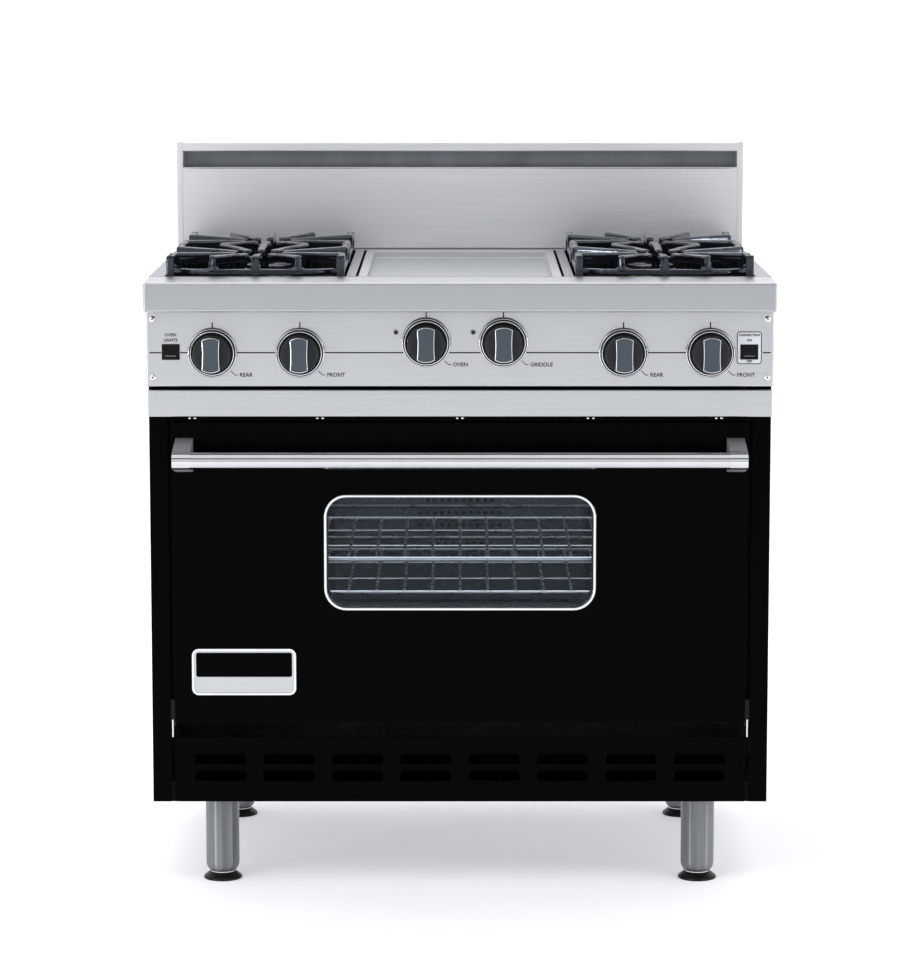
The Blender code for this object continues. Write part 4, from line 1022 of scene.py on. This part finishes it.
def panel_graphics():
    """The printed line, the tick over each knob, the leaders and the plain words of the controls."""
    front = PANEL["front"]
    line_z = knob_place(KNOBS[0]).z
    edges = [PANEL["left"] + LINE_MARGIN]
    for name, gap in zip(SWITCHES, (LINE_GAP, LINE_GAP + LABEL_MARGIN)):
        low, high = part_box(name)
        edges += [low.x - gap, high.x + gap]
    edges.append(PANEL["right"] - LINE_MARGIN)
    marks = []
    for start, end in zip(edges[::2], edges[1::2]):
        marks.append(ink_bar(start, end, line_z - LINE / 2, line_z + LINE / 2))
    for name, word in KNOB_WORDS.items():
        centre = knob_place(name)
        tick = (centre.x - LINE / 2, centre.x + LINE / 2)
        marks.append(ink_bar(*tick, centre.z + TICK_START, centre.z + TICK_END))
        elbow_x = centre.x + LEADER_ELBOW
        elbow_z = centre.z - LEADER_ELBOW
        leader = [
            (centre.x + LEADER_START, front, centre.z - LEADER_START),
            (elbow_x, front, elbow_z),
            (elbow_x + LEADER_TAIL, front, elbow_z),
        ]
        marks.append(add_wire("leader", leader, LEADER))
        marks.append(add_words(word, KNOB_WORD_SIZE, (elbow_x + WORD_GAP, front, elbow_z), "LEFT"))
    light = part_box("light_switch")
    light_x = (light[0].x + light[1].x) / 2
    for row, word in enumerate(("LIGHTS", "OVEN")):
        z = light[1].z + SWITCH_WORD_LIFT + row * SWITCH_WORD_STEP
        marks.append(add_words(word, SWITCH_WORD_SIZE, (light_x, front, z)))
    dress(join("panel_print", marks), INK, "range_body", "black_plastic")


def ink_bar(left, right, bottom, top):
    """A printed bar on the panel's face."""
    return add_block("ink", (left, PANEL["front"] - SKIN, bottom), (right, PANEL["front"] + SKIN, top))


def add_words(words, size, place, side="CENTER"):
    """Plain printed words on the panel's face."""
    deselect()
    bpy.ops.object.text_add(location=place)
    text = bpy.context.object
    text.data.body = words
    text.data.size = size
    text.data.align_x = side
    text.data.align_y = "CENTER"
    text.data.extrude = SKIN
    text.data.offset = WORD_WEIGHT
    text.data.resolution_u = WORD_STEPS
    text.rotation_euler = FRONT
    bpy.ops.object.convert(target="MESH")
    return settle(bpy.context.object, "words")


def knob_place(name):
    """The middle of a knob, on the panel's face."""
    low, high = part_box(f"{name}_knob")
    return Vector(((low.x + high.x) / 2, PANEL["front"], (low.z + high.z) / 2))


def knobs():
    """Six knobs: a chrome bezel on the panel, and a black body with a slate grip that turns."""
    for name in KNOBS:
        centre = knob_place(name)
        body = f"{name}_knob"
        bezel = add_turned(f"{name}_bezel", BEZEL_PROFILE, centre, FRONT, KNOB_SIDES)
        dress(bezel, BEZEL_CHROME, "range_body", "chrome")
        # A black ring in the gap between the bezel and the chrome ring: painted shade.
        shadow_ring = add_turned(f"{name}_groove", SHADOW_RING_PROFILE, centre, FRONT, KNOB_SIDES)
        skirt = add_turned(f"{name}_skirt", SKIRT_PROFILE, centre, FRONT, KNOB_SIDES)
        dress(join(f"{name}_skirt", [shadow_ring, skirt]), SWITCH_BLACK, body, "black_plastic")
        ring = add_turned(f"{name}_ring", RING_PROFILE, centre, FRONT, KNOB_SIDES)
        dress(ring, CHROME, body, "chrome")
        barrel = add_turned(f"{name}_barrel", BARREL_PROFILE, centre, FRONT, KNOB_SIDES)
        dress(barrel, KNOB_BLACK, body, "black_plastic", f"{name}_knob")
        grip_y = centre.y - BARREL_PROFILE[-1][1] - GRIP_DEPTH / 2
        grip_place = (centre.x, grip_y, centre.z)
        grip = add_outline(f"{name}_grip", [grip_outline()], GRIP_DEPTH, grip_place, FRONT, GRIP_EDGE)
        dress(grip, GRIP_SLATE, body, "black_plastic")
        trim_y = grip_y - GRIP_DEPTH / 2 + GRIP_TRIM
        rim = [(centre.x + across, trim_y, centre.z + up) for across, up in grip_outline()]
        dress(add_wire(f"{name}_grip_trim", rim, GRIP_TRIM, True), RACK_CHROME, body, "chrome")


def grip_outline():
    """A bar with waisted sides and ends that follow the knob's edge."""
    half = GRIP_WIDTH / 2
    end = math.sqrt(GRIP_REACH ** 2 - half ** 2)
    right = []
    for step in range(GRIP_STEPS + 1):
        share = 2 * step / GRIP_STEPS - 1
        right.append((half - GRIP_WAIST * (1 - share ** 2), share * end))
    cap = []
    for step in range(1, GRIP_STEPS):
        across = half * (1 - 2 * step / GRIP_STEPS)
        cap.append((across, math.sqrt(GRIP_REACH ** 2 - across ** 2)))
    half_turn = right + cap
    return half_turn + [(-across, -up) for across, up in half_turn]


def lamps():
    """Two small indicator lamps in chrome rims, left of the two middle knobs."""
    for name in ("oven", "griddle"):
        centre = knob_place(name) + Vector((-LAMP_SIDE, 0, LAMP_RISE))
        rim = add_turned(f"{name}_lamp_rim", LAMP_RIM_PROFILE, centre, FRONT, LAMP_SIDES)
        dress(rim, CHROME, "range_body", "chrome")
        lens = add_turned(f"{name}_lamp_lens", LAMP_LENS_PROFILE, centre, FRONT, LAMP_SIDES)
        dress(lens, LENS, "range_body", "tinted_glass")


def switches():
    """Two rocker switches; the right one sits in a pale label plate."""
    for name in SWITCHES:
        low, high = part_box(name)
        centre = (low + high) / 2
        width = high.x - low.x
        half = SWITCH_HEIGHT / 2
        profile = [
            (-SWITCH_PROUD, -half),
            (SWITCH_BACK, -half),
            (SWITCH_BACK, half),
            (-SWITCH_PROUD, half),
            (SWITCH_DISH - SWITCH_PROUD, 0),
        ]
        rocker = add_outline(f"{name}_rocker", [profile], width, (0, 0, 0), SIDE, SWITCH_EDGE)
        rocker.rotation_euler = (-math.radians(SWITCH_TILT), 0, 0)
        rocker.location = (centre.x, PANEL["front"], centre.z)
        dress(settle(rocker, f"{name}_rocker"), SWITCH_BLACK, name, "black_plastic", name)
        frame_size = (width + 2 * SWITCH_FRAME, SWITCH_HEIGHT + 2 * SWITCH_FRAME)
        hole = (width + SWITCH_ROOM, SWITCH_HEIGHT + 2 * SWITCH_ROOM)
        outlines = [round_rectangle(*frame_size, SWITCH_FRAME / 2), round_rectangle(*hole, SKIN)]
        rim_place = (centre.x, PANEL["front"] - SWITCH_RIM / 2, centre.z)
        rim = add_outline(f"{name}_surround", outlines, SWITCH_RIM, rim_place, FRONT, SKIN)
        dress(rim, SWITCH_BLACK, "range_body", "black_plastic")
        # A grey rod along each rocker's lower edge: a painted highlight line.
        shine_z = centre.z - half + SWITCH_HIGHLIGHT_RISE
        shine_y = PANEL["front"] - SWITCH_PROUD
        reach = width / 2 - SWITCH_HIGHLIGHT_RISE
        rod_ends = [(centre.x + side * reach, shine_y, shine_z) for side in (-1, 1)]
        dress(add_rod(f"{name}_lip", *rod_ends, SWITCH_HIGHLIGHT_RADIUS), HIGHLIGHT_GREY, name, "black_plastic")
        if name == "fan_switch":
            label_plate(centre, hole)


def label_plate(centre, hole):
    """The pale plate round the fan switch, with the switch's plain words."""
    front = PANEL["front"] - LABEL / 2
    middle = centre.z + LABEL_RISE
    window = [(across, up - LABEL_RISE) for across, up in round_rectangle(*hole, SKIN)]
    border = round_rectangle(LABEL_WIDTH, LABEL_HEIGHT, LABEL_RADIUS)
    plate = add_outline("fan_label", [border, window], LABEL, (centre.x, front, middle), FRONT, SKIN)
    dress(plate, LABEL_PALE, "range_body", "stainless_steel")
    face = PANEL["front"] - LABEL
    edge = [(centre.x + across, face, middle + up) for across, up in border]
    marks = [add_wire("label_edge", edge, LEADER, True)]
    for word, rise in LABEL_WORDS.items():
        marks.append(add_words(word, LABEL_WORD_SIZE, (centre.x, face, centre.z + rise)))
    dress(join("fan_label_print", marks), INK, "range_body", "black_plastic")


def backguard():
    """The stainless back: its flue slot with a bright lip and a dark lining, and its end caps."""
    body = add_solid("back", BACK)
    slot_top = BACK["top"] - SLOT_TO_TOP
    slot_low = (BACK["left"] + SLOT_MARGIN, BACK["front"] - SLOT_MARGIN, slot_top - SLOT_HEIGHT)
    slot_high = (BACK["right"] - SLOT_MARGIN, BACK["back"] - FLUE_WALL, slot_top)
    cut(body, add_block("slot", slot_low, slot_high))
    soften(body, BACK_ROUNDING)
    # The back and its end caps get the lighter steel: painted light.
    dress(body, LIT_GUARD_STEEL, "range_body", "stainless_steel", "backguard")
    lip_y = BACK["front"] + SLOT_LIP / 2
    rod_ends = [(x, lip_y, slot_low[2]) for x in (slot_low[0], slot_high[0])]
    dress(add_rod("flue_lip", *rod_ends, SLOT_LIP), CHROME, "range_body", "stainless_steel")
    # The lining's upright bands are painted reflections.
    lining_low = (slot_low[0], BACK["back"] - FLUE_WALL - SHEET, slot_low[2])
    lining = add_block("flue_lining", lining_low, slot_high)
    dress(lining, FLUE, "range_body", "galvanised_steel")
    for side, start in (("left", BACK["left"]), ("right", BACK["right"] - CAP_WIDTH)):
        low = (start, BACK["front"] - CAP_PROUD, BACK["bottom"])
        high = (start + CAP_WIDTH, BACK["front"] + CAP_PROUD, BACK["top"] + CAP_PROUD)
        cap = add_block(f"{side}_end_cap", low, high)
        soften(cap, CAP_PROUD / 2, CAP_STEPS)
        dress(cap, LIT_GUARD_STEEL, "range_body", "stainless_steel")


def back_sheet():
    """The rear sheet: two columns of punched vents and a row of screws along each edge."""
    back = edges_of("back_panel")
    size, middle = face_of(back)
    outlines = [round_rectangle(*size, SKIN)]
    slot = round_rectangle(VENT_WIDTH, VENT_HEIGHT, VENT_HEIGHT / 2 - SKIN, VENT_STEPS)
    for side in (-1, 1):
        for row in range(VENT_ROWS):
            rise = size[1] / 2 - VENT_DROP - row * VENT_STEP
            outlines.append([(side * VENT_SIDE + across, rise + up) for across, up in slot])
    sheet_place = (0, back["front"] + REAR_SHEET / 2, middle)
    sheet = add_outline("back_sheet", outlines, REAR_SHEET, sheet_place, FRONT)
    dress(sheet, ZINC, "range_body", "galvanised_steel", "back_panel")
    reach = Vector((size[0] / 2 - REAR_INSET, size[1] / 2 - REAR_INSET))
    spots = set()
    for step in range(REAR_SCREWS + 1):
        share = 2 * step / REAR_SCREWS - 1
        for side in (-1, 1):
            spots.add((share * reach.x, side * reach.y))
            spots.add((side * reach.x, share * reach.y))
    heads = []
    for across, up in sorted(spots):
        place = (across, back["front"] + REAR_SHEET, middle + up)
        heads.append(add_turned("rear_screw", REAR_SCREW_PROFILE, place, REAR, SMALL_SIDES))
    dress(join("rear_screws", heads), CHROME, "range_body", "chrome")


def grates():
    """Four cast grates: the CAD shape, remeshed and smoothed to the rounded edges of a casting."""
    first = "grate_" + CORNERS[0]
    master = frame["nodes"][first].copy()
    master.data = master.data.copy()
    master.parent = None
    bpy.context.scene.collection.objects.link(master)
    weld(settle(master, "cast_" + first))
    modify(master, "REMESH", mode="VOXEL", voxel_size=GRATE_VOXEL)
    modify(master, "SMOOTH", factor=GRATE_EASE, iterations=GRATE_SMOOTHING)
    modify(master, "DECIMATE", ratio=GRATE_KEPT)
    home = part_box(first)[0]
    for corner in CORNERS[1:]:
        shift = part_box("grate_" + corner)[0] - home
        twin = copy_to(master, "cast_grate_" + corner, shift)
        dress(twin, IRON, "grate_" + corner, "cast_iron_enamel", "grate_" + corner)
    dress(master, IRON, first, "cast_iron_enamel", first)


def burners():
    """Four open burners: a brass head with a ring of ports, a black cap and an igniter."""
    for corner in CORNERS:
        low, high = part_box("burner_" + corner)
        middle = (low + high) / 2
        seat = Vector((middle.x, middle.y, DECK["top"] - WELL_DEPTH))
        head = add_turned("burner_head_" + corner, HEAD_PROFILE, seat, UP, HEAD_SIDES)
        press_faces(head, lambda face: is_port(face, seat), PORT_RIM, -PORT_DEPTH)
        dress(head, BRASS, "range_body", "brass", "burner_" + corner)
        cap = add_turned("burner_cap_" + corner, CAP_PROFILE, seat, UP, HEAD_SIDES)
        dress(cap, IRON, "range_body", "cast_iron_enamel")
        side = -1 if "left" in corner else 1
        post = seat + Vector((-side * IGNITER_SIDE, 0, 0))
        igniter = add_turned("igniter_" + corner, IGNITER_PROFILE, post, UP, ROD_SIDES)
        dress(igniter, CERAMIC, "range_body", "black_plastic")


def is_port(face, seat):
    """Every second upright face of the burner head's wall."""
    centre = face.calc_center_median() - seat
    if abs(face.normal.z) > 1 - ALIGNED or abs(centre.z - PORT_Z) > PORT_RIM:
        return False
    step = 2 * math.pi / HEAD_SIDES
    return int(math.atan2(centre.y, centre.x) // step) % 2 == 0


def griddle():
    """The griddle plate: a raised rim on three sides and an open front."""
    plate = add_solid("griddle_top", GRIDDLE)
    floor_z = GRIDDLE["top"] - GRIDDLE_RIM_HEIGHT
    low = (GRIDDLE["left"] + GRIDDLE_RIM, GRIDDLE["front"] - GRIDDLE_RIM, floor_z)
    high = (GRIDDLE["right"] - GRIDDLE_RIM, GRIDDLE["back"] - GRIDDLE_RIM, GRIDDLE["top"] + GRIDDLE_RIM)
    cut(plate, add_block("hollow", low, high))
    soften(plate, GRIDDLE_EDGE)
    dress(plate, GROUND_STEEL, "griddle", "stainless_steel", "griddle_plate")


def door():
    """The door: a black slab round its window, tinted glass and chrome trim."""
    rim_size, window_z = face_of(TRIM)
    window = [side - 2 * TRIM_WIDTH for side in rim_size]
    centre_x = (TRIM["left"] + TRIM["right"]) / 2
    size, door_z = face_of(DOOR)
    hole = [(across, up + window_z - door_z) for across, up in round_rectangle(*window, WINDOW_RADIUS)]
    thick = DOOR["back"] - DOOR["front"]
    slab_place = (0, (DOOR["front"] + DOOR["back"]) / 2, door_z)
    outlines = [round_rectangle(*size, DOOR_CORNER), hole]
    slab = add_outline("door_slab", outlines, thick, slab_place, FRONT, DOOR_ROUNDING)
    dress(slab, ENAMEL, "oven_door", "black_enamel", "door_skin")
    pane_outline = round_rectangle(window[0] - SKIN, window[1] - SKIN, WINDOW_RADIUS)
    pane_place = (centre_x, DOOR["front"] + PANE_SETBACK, window_z)
    pane = add_outline("window_pane", [pane_outline], PANE, pane_place, FRONT, SKIN)
    dress(pane, GLASS, "oven_door", "tinted_glass", "door_glass")
    outer = round_rectangle(*rim_size, WINDOW_RADIUS + TRIM_WIDTH)
    inner = round_rectangle(*window, WINDOW_RADIUS)
    trim_place = (centre_x, DOOR["front"] - TRIM_DEPTH / 2, window_z)
    trim = add_outline("window_rim", [outer, inner], TRIM_DEPTH, trim_place, FRONT, TRIM_EDGE)
    dress(trim, CHROME, "oven_door", "chrome", "window_trim")


def tray_studs():
    """Pairs of small bright studs under the drip tray's strip, in the gap above the door."""
    studs = []
    for share in STUD_PLACES:
        for shift in (-STUD_PAIR, STUD_PAIR):
            x = share * DOOR["right"] + shift
            place = (x, STRIP["front"] + STRIP_THICK / 2, STRIP["bottom"] + STUD_RISE)
            studs.append(add_turned("stud", STUD_PROFILE, place, FRONT, SMALL_SIDES))
    dress(join("tray_studs", studs), CHROME, "drip_tray", "chrome")


def hinge_pins():
    """The bright tail of each door hinge, seen in the gap beside the door's lower corners."""
    for side, inset in (("left", PIN_INSET), ("right", -PIN_INSET)):
        hinge = edges_of(f"{side}_door_hinge")
        foot = Vector((hinge[side] + inset, hinge["front"], hinge["bottom"] - PIN_TAIL))
        top = foot + Vector((0, 0, PIN_TAIL + PIN_RISE))
        pin = add_rod(f"{side}_hinge_pin", foot, top, PIN, SMALL_SIDES)
        dress(pin, CHROME, "range_body", "chrome")


def badge():
    """A bare plate on the door: chrome rim, black field and a plain steel band."""
    place = (BADGE_X, DOOR["front"] - BADGE / 2, BADGE_Z)
    inner = (BADGE_WIDTH - 2 * BADGE_RIM, BADGE_HEIGHT - 2 * BADGE_RIM)
    outer_outline = round_rectangle(BADGE_WIDTH, BADGE_HEIGHT, BADGE_RADIUS)
    inner_outline = round_rectangle(*inner, BADGE_RADIUS - BADGE_RIM)
    rim = add_outline("badge_rim", [outer_outline, inner_outline], BADGE, place, FRONT, BADGE_EDGE)
    dress(rim, CHROME, "oven_door", "chrome")
    back_y = DOOR["front"] - BADGE / 4
    back = add_outline("badge_back", [inner_outline], BADGE / 2, (BADGE_X, back_y, BADGE_Z), FRONT, SKIN)
    dress(back, STEEL, "oven_door", "stainless_steel")
    field_outline = round_rectangle(inner[0] - 2 * BADGE_RIM, BADGE_FIELD, BADGE_RIM)
    field_z = BADGE_Z + (inner[1] - BADGE_FIELD) / 2 - BADGE_RIM
    field_place = (BADGE_X, DOOR["front"] - BADGE / 2, field_z)
    field = add_outline("badge_field", [field_outline], BADGE / 2, field_place, FRONT, SKIN)
    dress(field, ENAMEL, "oven_door", "black_enamel")


def handle():
    """A round chrome bar between two cast brackets with rounded noses."""
    bar_y = HANDLE["front"] + HANDLE_NOSE
    bar_z = face_of(HANDLE)[1]
    ends = HANDLE["right"] - HANDLE_BRACKET / 2
    bar_ends = [(side * ends, bar_y, bar_z) for side in (-1, 1)]
    bar = add_rod("handle_bar", *bar_ends, HANDLE_RADIUS, ROUND_SIDES)
    dress(bar, HANDLE_CHROME, "oven_door", "chrome", "door_handle")
    nose = []
    for step in range(NOSE_STEPS + 1):
        angle = -math.pi / 2 - step * math.pi / NOSE_STEPS
        nose.append((bar_y + HANDLE_NOSE * math.cos(angle), bar_z + HANDLE_NOSE * math.sin(angle)))
    outline = [(HANDLE["back"], HANDLE["bottom"]), *nose, (HANDLE["back"], HANDLE["top"])]
    for side, name in ((-1, "left_bracket"), (1, "right_bracket")):
        bracket = add_outline(name, [outline], HANDLE_BRACKET, (side * ends, 0, 0), SIDE, BRACKET_EDGE)
        dress(bracket, SATIN_CHROME, "oven_door", "chrome")


def kick_panel():
    """The panel under the door: rows of slots, each with a rolled lip and a blade behind it."""
    size, middle_z = face_of(KICK)
    outlines = [round_rectangle(*size, SKIN)]
    fittings = []
    columns = int(size[0] / LOUVER_PITCH)
    for row in range(LOUVER_ROWS):
        sill = KICK["top"] - LOUVER_DROP - LOUVER_HEIGHT - row * LOUVER_SPACING
        for column in range(columns):
            x = (column - (columns - 1) / 2) * LOUVER_PITCH
            slot = slot_outline()
            outlines.append([(x + across, sill - middle_z + up) for across, up in slot])
            fittings.append(blade(x, sill))
            lip = [(x + across, KICK["front"], sill + up) for across, up in slot]
            fittings.append(add_wire("lip", lip, LIP, True, LIP_STEPS))
    thick = KICK["back"] - KICK["front"]
    panel = add_outline("kick", outlines, thick, (0, KICK["front"] + thick / 2, middle_z), FRONT, SKIN)
    dress(join("kick_louvers", [panel, *fittings]), ENAMEL, "range_body", "black_enamel", "kick_panel")


def slot_outline():
    """A slot with a flat sill and rounded upper corners; up is measured from the sill."""
    half = LOUVER_WIDTH / 2
    points = [(-half, 0.0), (half, 0.0)]
    for step in range(2 * LOUVER_STEPS + 1):
        angle = step / LOUVER_STEPS * math.pi / 2
        side = 1 if step <= LOUVER_STEPS else -1
        across = side * (half - LOUVER_RADIUS) + LOUVER_RADIUS * math.cos(angle)
        points.append((across, LOUVER_HEIGHT - LOUVER_RADIUS + LOUVER_RADIUS * math.sin(angle)))
    return points


def blade(x, sill):
    """A sheet that leans in behind a slot, from its top edge down past its sill."""
    front = KICK["back"]
    top = sill + LOUVER_HEIGHT + BLADE_LAP
    foot = sill - BLADE_LAP
    rear = front + BLADE_REACH
    profile = [(front, top), (front + SHEET, top), (rear, foot), (rear - SHEET, foot)]
    return add_outline("blade", [profile], LOUVER_WIDTH + 2 * BLADE_LAP, (x, 0, 0), SIDE)


def legs():
    """Four brushed legs and their black levelling feet."""
    for corner in CORNERS:
        low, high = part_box("leg_" + corner)
        middle = (low + high) / 2
        profile = [*LEG_FOOT, (LEG_RADIUS, high.z - low.z)]
        leg = add_turned("leg_tube_" + corner, profile, (middle.x, middle.y, low.z))
        dress(leg, LEG_STEEL, "range_body", "stainless_steel", "leg_" + corner)
        base = (middle.x, middle.y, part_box("foot_" + corner)[0].z)
        foot = add_turned("foot_pad_" + corner, FOOT_PROFILE, base)
        dress(foot, RUBBER, "foot_" + corner, "black_rubber", "foot_" + corner)
        collar = add_turned("foot_collar_" + corner, COLLAR_PROFILE, base)
        dress(collar, CHROME, "foot_" + corner, "chrome")


def racks():
    """Two wire racks, each a frame, wires from front to back, cross bars and a raised back rail."""
    for level in ("lower", "upper"):
        low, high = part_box(f"{level}_oven_rack")
        z = (low.z + high.z) / 2
        left = low.x + RACK_FRAME
        right = high.x - RACK_FRAME
        front = low.y + RACK_FRAME
        back = high.y - RACK_FRAME
        corners = [(left, front, z), (right, front, z), (right, back, z), (left, back, z)]
        wires = [add_wire("rack_frame", corners, RACK_FRAME, True)]
        count = round((right - left) / RACK_PITCH)
        for index in range(1, count):
            x = left + index * (right - left) / count
            wires.append(add_rod("rack_wire", (x, front, z), (x, back, z), RACK_WIRE, WIRE_SIDES))
        for share in RACK_BARS:
            y = front + share * (back - front)
            bar_z = z - RACK_WIRE - RACK_FRAME / 2
            ends = [(x, y, bar_z) for x in (left, right)]
            wires.append(add_rod("rack_bar", *ends, RACK_FRAME / 2, WIRE_SIDES))
        rail_z = z + RACK_RAIL
        rail = [(left, back, z), (left, back, rail_z), (right, back, rail_z), (right, back, z)]
        wires.append(add_wire("rack_rail", rail, RACK_FRAME))
        rack = join(f"{level}_rack_wires", wires)
        dress(rack, RACK_CHROME, f"{level}_rack", "chrome", f"{level}_oven_rack")


def intake_guard():
    """A punched cover over the fan's intake at the back of the oven."""
    baffle = edges_of("fan_baffle")
    wheel = edges_of("fan_wheel")
    centre = (0, baffle["front"] - GUARD / 2, (wheel["bottom"] + wheel["top"]) / 2)
    outlines = [circle(GUARD_RADIUS, 0, 0, HEAD_SIDES)]
    rows = int(GUARD_REACH / GUARD_ROW)
    for row in range(-rows, rows + 1):
        shift = GUARD_PITCH / 2 if row % 2 else 0.0
        columns = int(GUARD_REACH / GUARD_PITCH) + 1
        for column in range(-columns, columns + 1):
            across = column * GUARD_PITCH + shift
            up = row * GUARD_ROW
            if math.hypot(across, up) < GUARD_REACH:
                outlines.append(circle(GUARD_HOLE, across, up, GUARD_SIDES))
    guard = add_outline("intake_guard", outlines, GUARD, centre, FRONT)
    dress(guard, PORCELAIN, "range_body", "oven_porcelain")


def circle(radius, across, up, sides):
    """A round outline about a point."""
    turns = [2 * math.pi * step / sides for step in range(sides)]
    return [(across + radius * math.cos(turn), up + radius * math.sin(turn)) for turn in turns]


def studio():
    """Camera, soft lights, a pale world and a plain floor."""
    lens = bpy.data.cameras.new("photo_camera")
    lens.lens = CAMERA_LENS
    lens.sensor_width = SENSOR
    camera = bpy.data.objects.new("photo_camera", lens)
    camera.location = CAMERA_SPOT
    camera.rotation_euler = (math.radians(RIGHT_ANGLE - CAMERA_PITCH), 0, 0)
    bpy.context.scene.collection.objects.link(camera)
    bpy.context.scene.camera = camera
    bpy.context.scene.view_settings.view_transform = "Standard"
    for name, (place, aim, width, length, power) in LIGHTS.items():
        lamp = bpy.data.lights.new(name, "AREA")
        lamp.shape = "RECTANGLE"
        lamp.size = width
        lamp.size_y = length
        lamp.energy = power
        light = bpy.data.objects.new(name, lamp)
        light.location = place
        light.rotation_euler = (Vector(aim) - Vector(place)).to_track_quat("-Z", "Y").to_euler()
        bpy.context.scene.collection.objects.link(light)
    bpy.context.scene.world = pale_world()
    deselect()
    bpy.ops.mesh.primitive_plane_add(size=FLOOR_SIZE)
    floor = settle(bpy.context.object, "floor")
    paper = moulded("pale_floor", FLOOR_DARK, FLOOR_LIGHT, *FLOOR_GLOSS, FLOOR_PITCH)
    shader = paper.node_tree.nodes["Principled BSDF"]
    shader.inputs["Emission Color"].default_value = WORLD_COLOUR
    shader.inputs["Emission Strength"].default_value = FLOOR_GLOW
    floor.data.materials.append(paper)


def pale_world():
    """A pale surround; a dark band at eye level and a dark flag above it give chrome its lines."""
    world = bpy.data.worlds.new("studio")
    world.use_nodes = True
    tree = world.node_tree
    sky = tree.nodes["Background"]
    sky.inputs["Strength"].default_value = WORLD_STRENGTH
    direction = tree.nodes.new("ShaderNodeTexCoord")
    parts = tree.nodes.new("ShaderNodeSeparateXYZ")
    height = tree.nodes.new("ShaderNodeMapRange")
    height.inputs["From Min"].default_value = -1.0
    ramp = tree.nodes.new("ShaderNodeValToRGB")
    for _ in BAND_EDGES[2:]:
        ramp.color_ramp.elements.new(1.0)
    colours = (WORLD_COLOUR, WORLD_BAND, WORLD_BAND, WORLD_COLOUR)
    for stop, edge, colour in zip(ramp.color_ramp.elements, BAND_EDGES, colours):
        stop.position = (edge + 1) / 2
        stop.color = colour
    tree.links.new(direction.outputs["Generated"], parts.inputs["Vector"])
    tree.links.new(parts.outputs["Z"], height.inputs["Value"])
    tree.links.new(height.outputs["Result"], ramp.inputs["Fac"])
    above = compare(tree, parts.outputs["Z"], "GREATER_THAN", FLAG_LOW)
    below = compare(tree, parts.outputs["Z"], "LESS_THAN", FLAG_HIGH)
    ahead = compare(tree, parts.outputs["Y"], "LESS_THAN", FLAG_AHEAD)
    flag = both(tree, both(tree, above, below), ahead)
    mirrored = choose(tree, "Color", flag, ramp.outputs["Color"], WORLD_BAND)
    path = tree.nodes.new("ShaderNodeLightPath")
    seen = choose(tree, "Color", path.outputs["Is Camera Ray"], mirrored, WORLD_COLOUR)
    tree.links.new(seen, sky.inputs["Color"])
    return world


dress_frame()
ledge()
tray()
control_panel()
panel_graphics()
knobs()
lamps()
switches()
backguard()
back_sheet()
grates()
burners()
griddle()
door()
tray_studs()
badge()
hinge_pins()
handle()
kick_panel()
legs()
racks()
intake_guard()
studio()
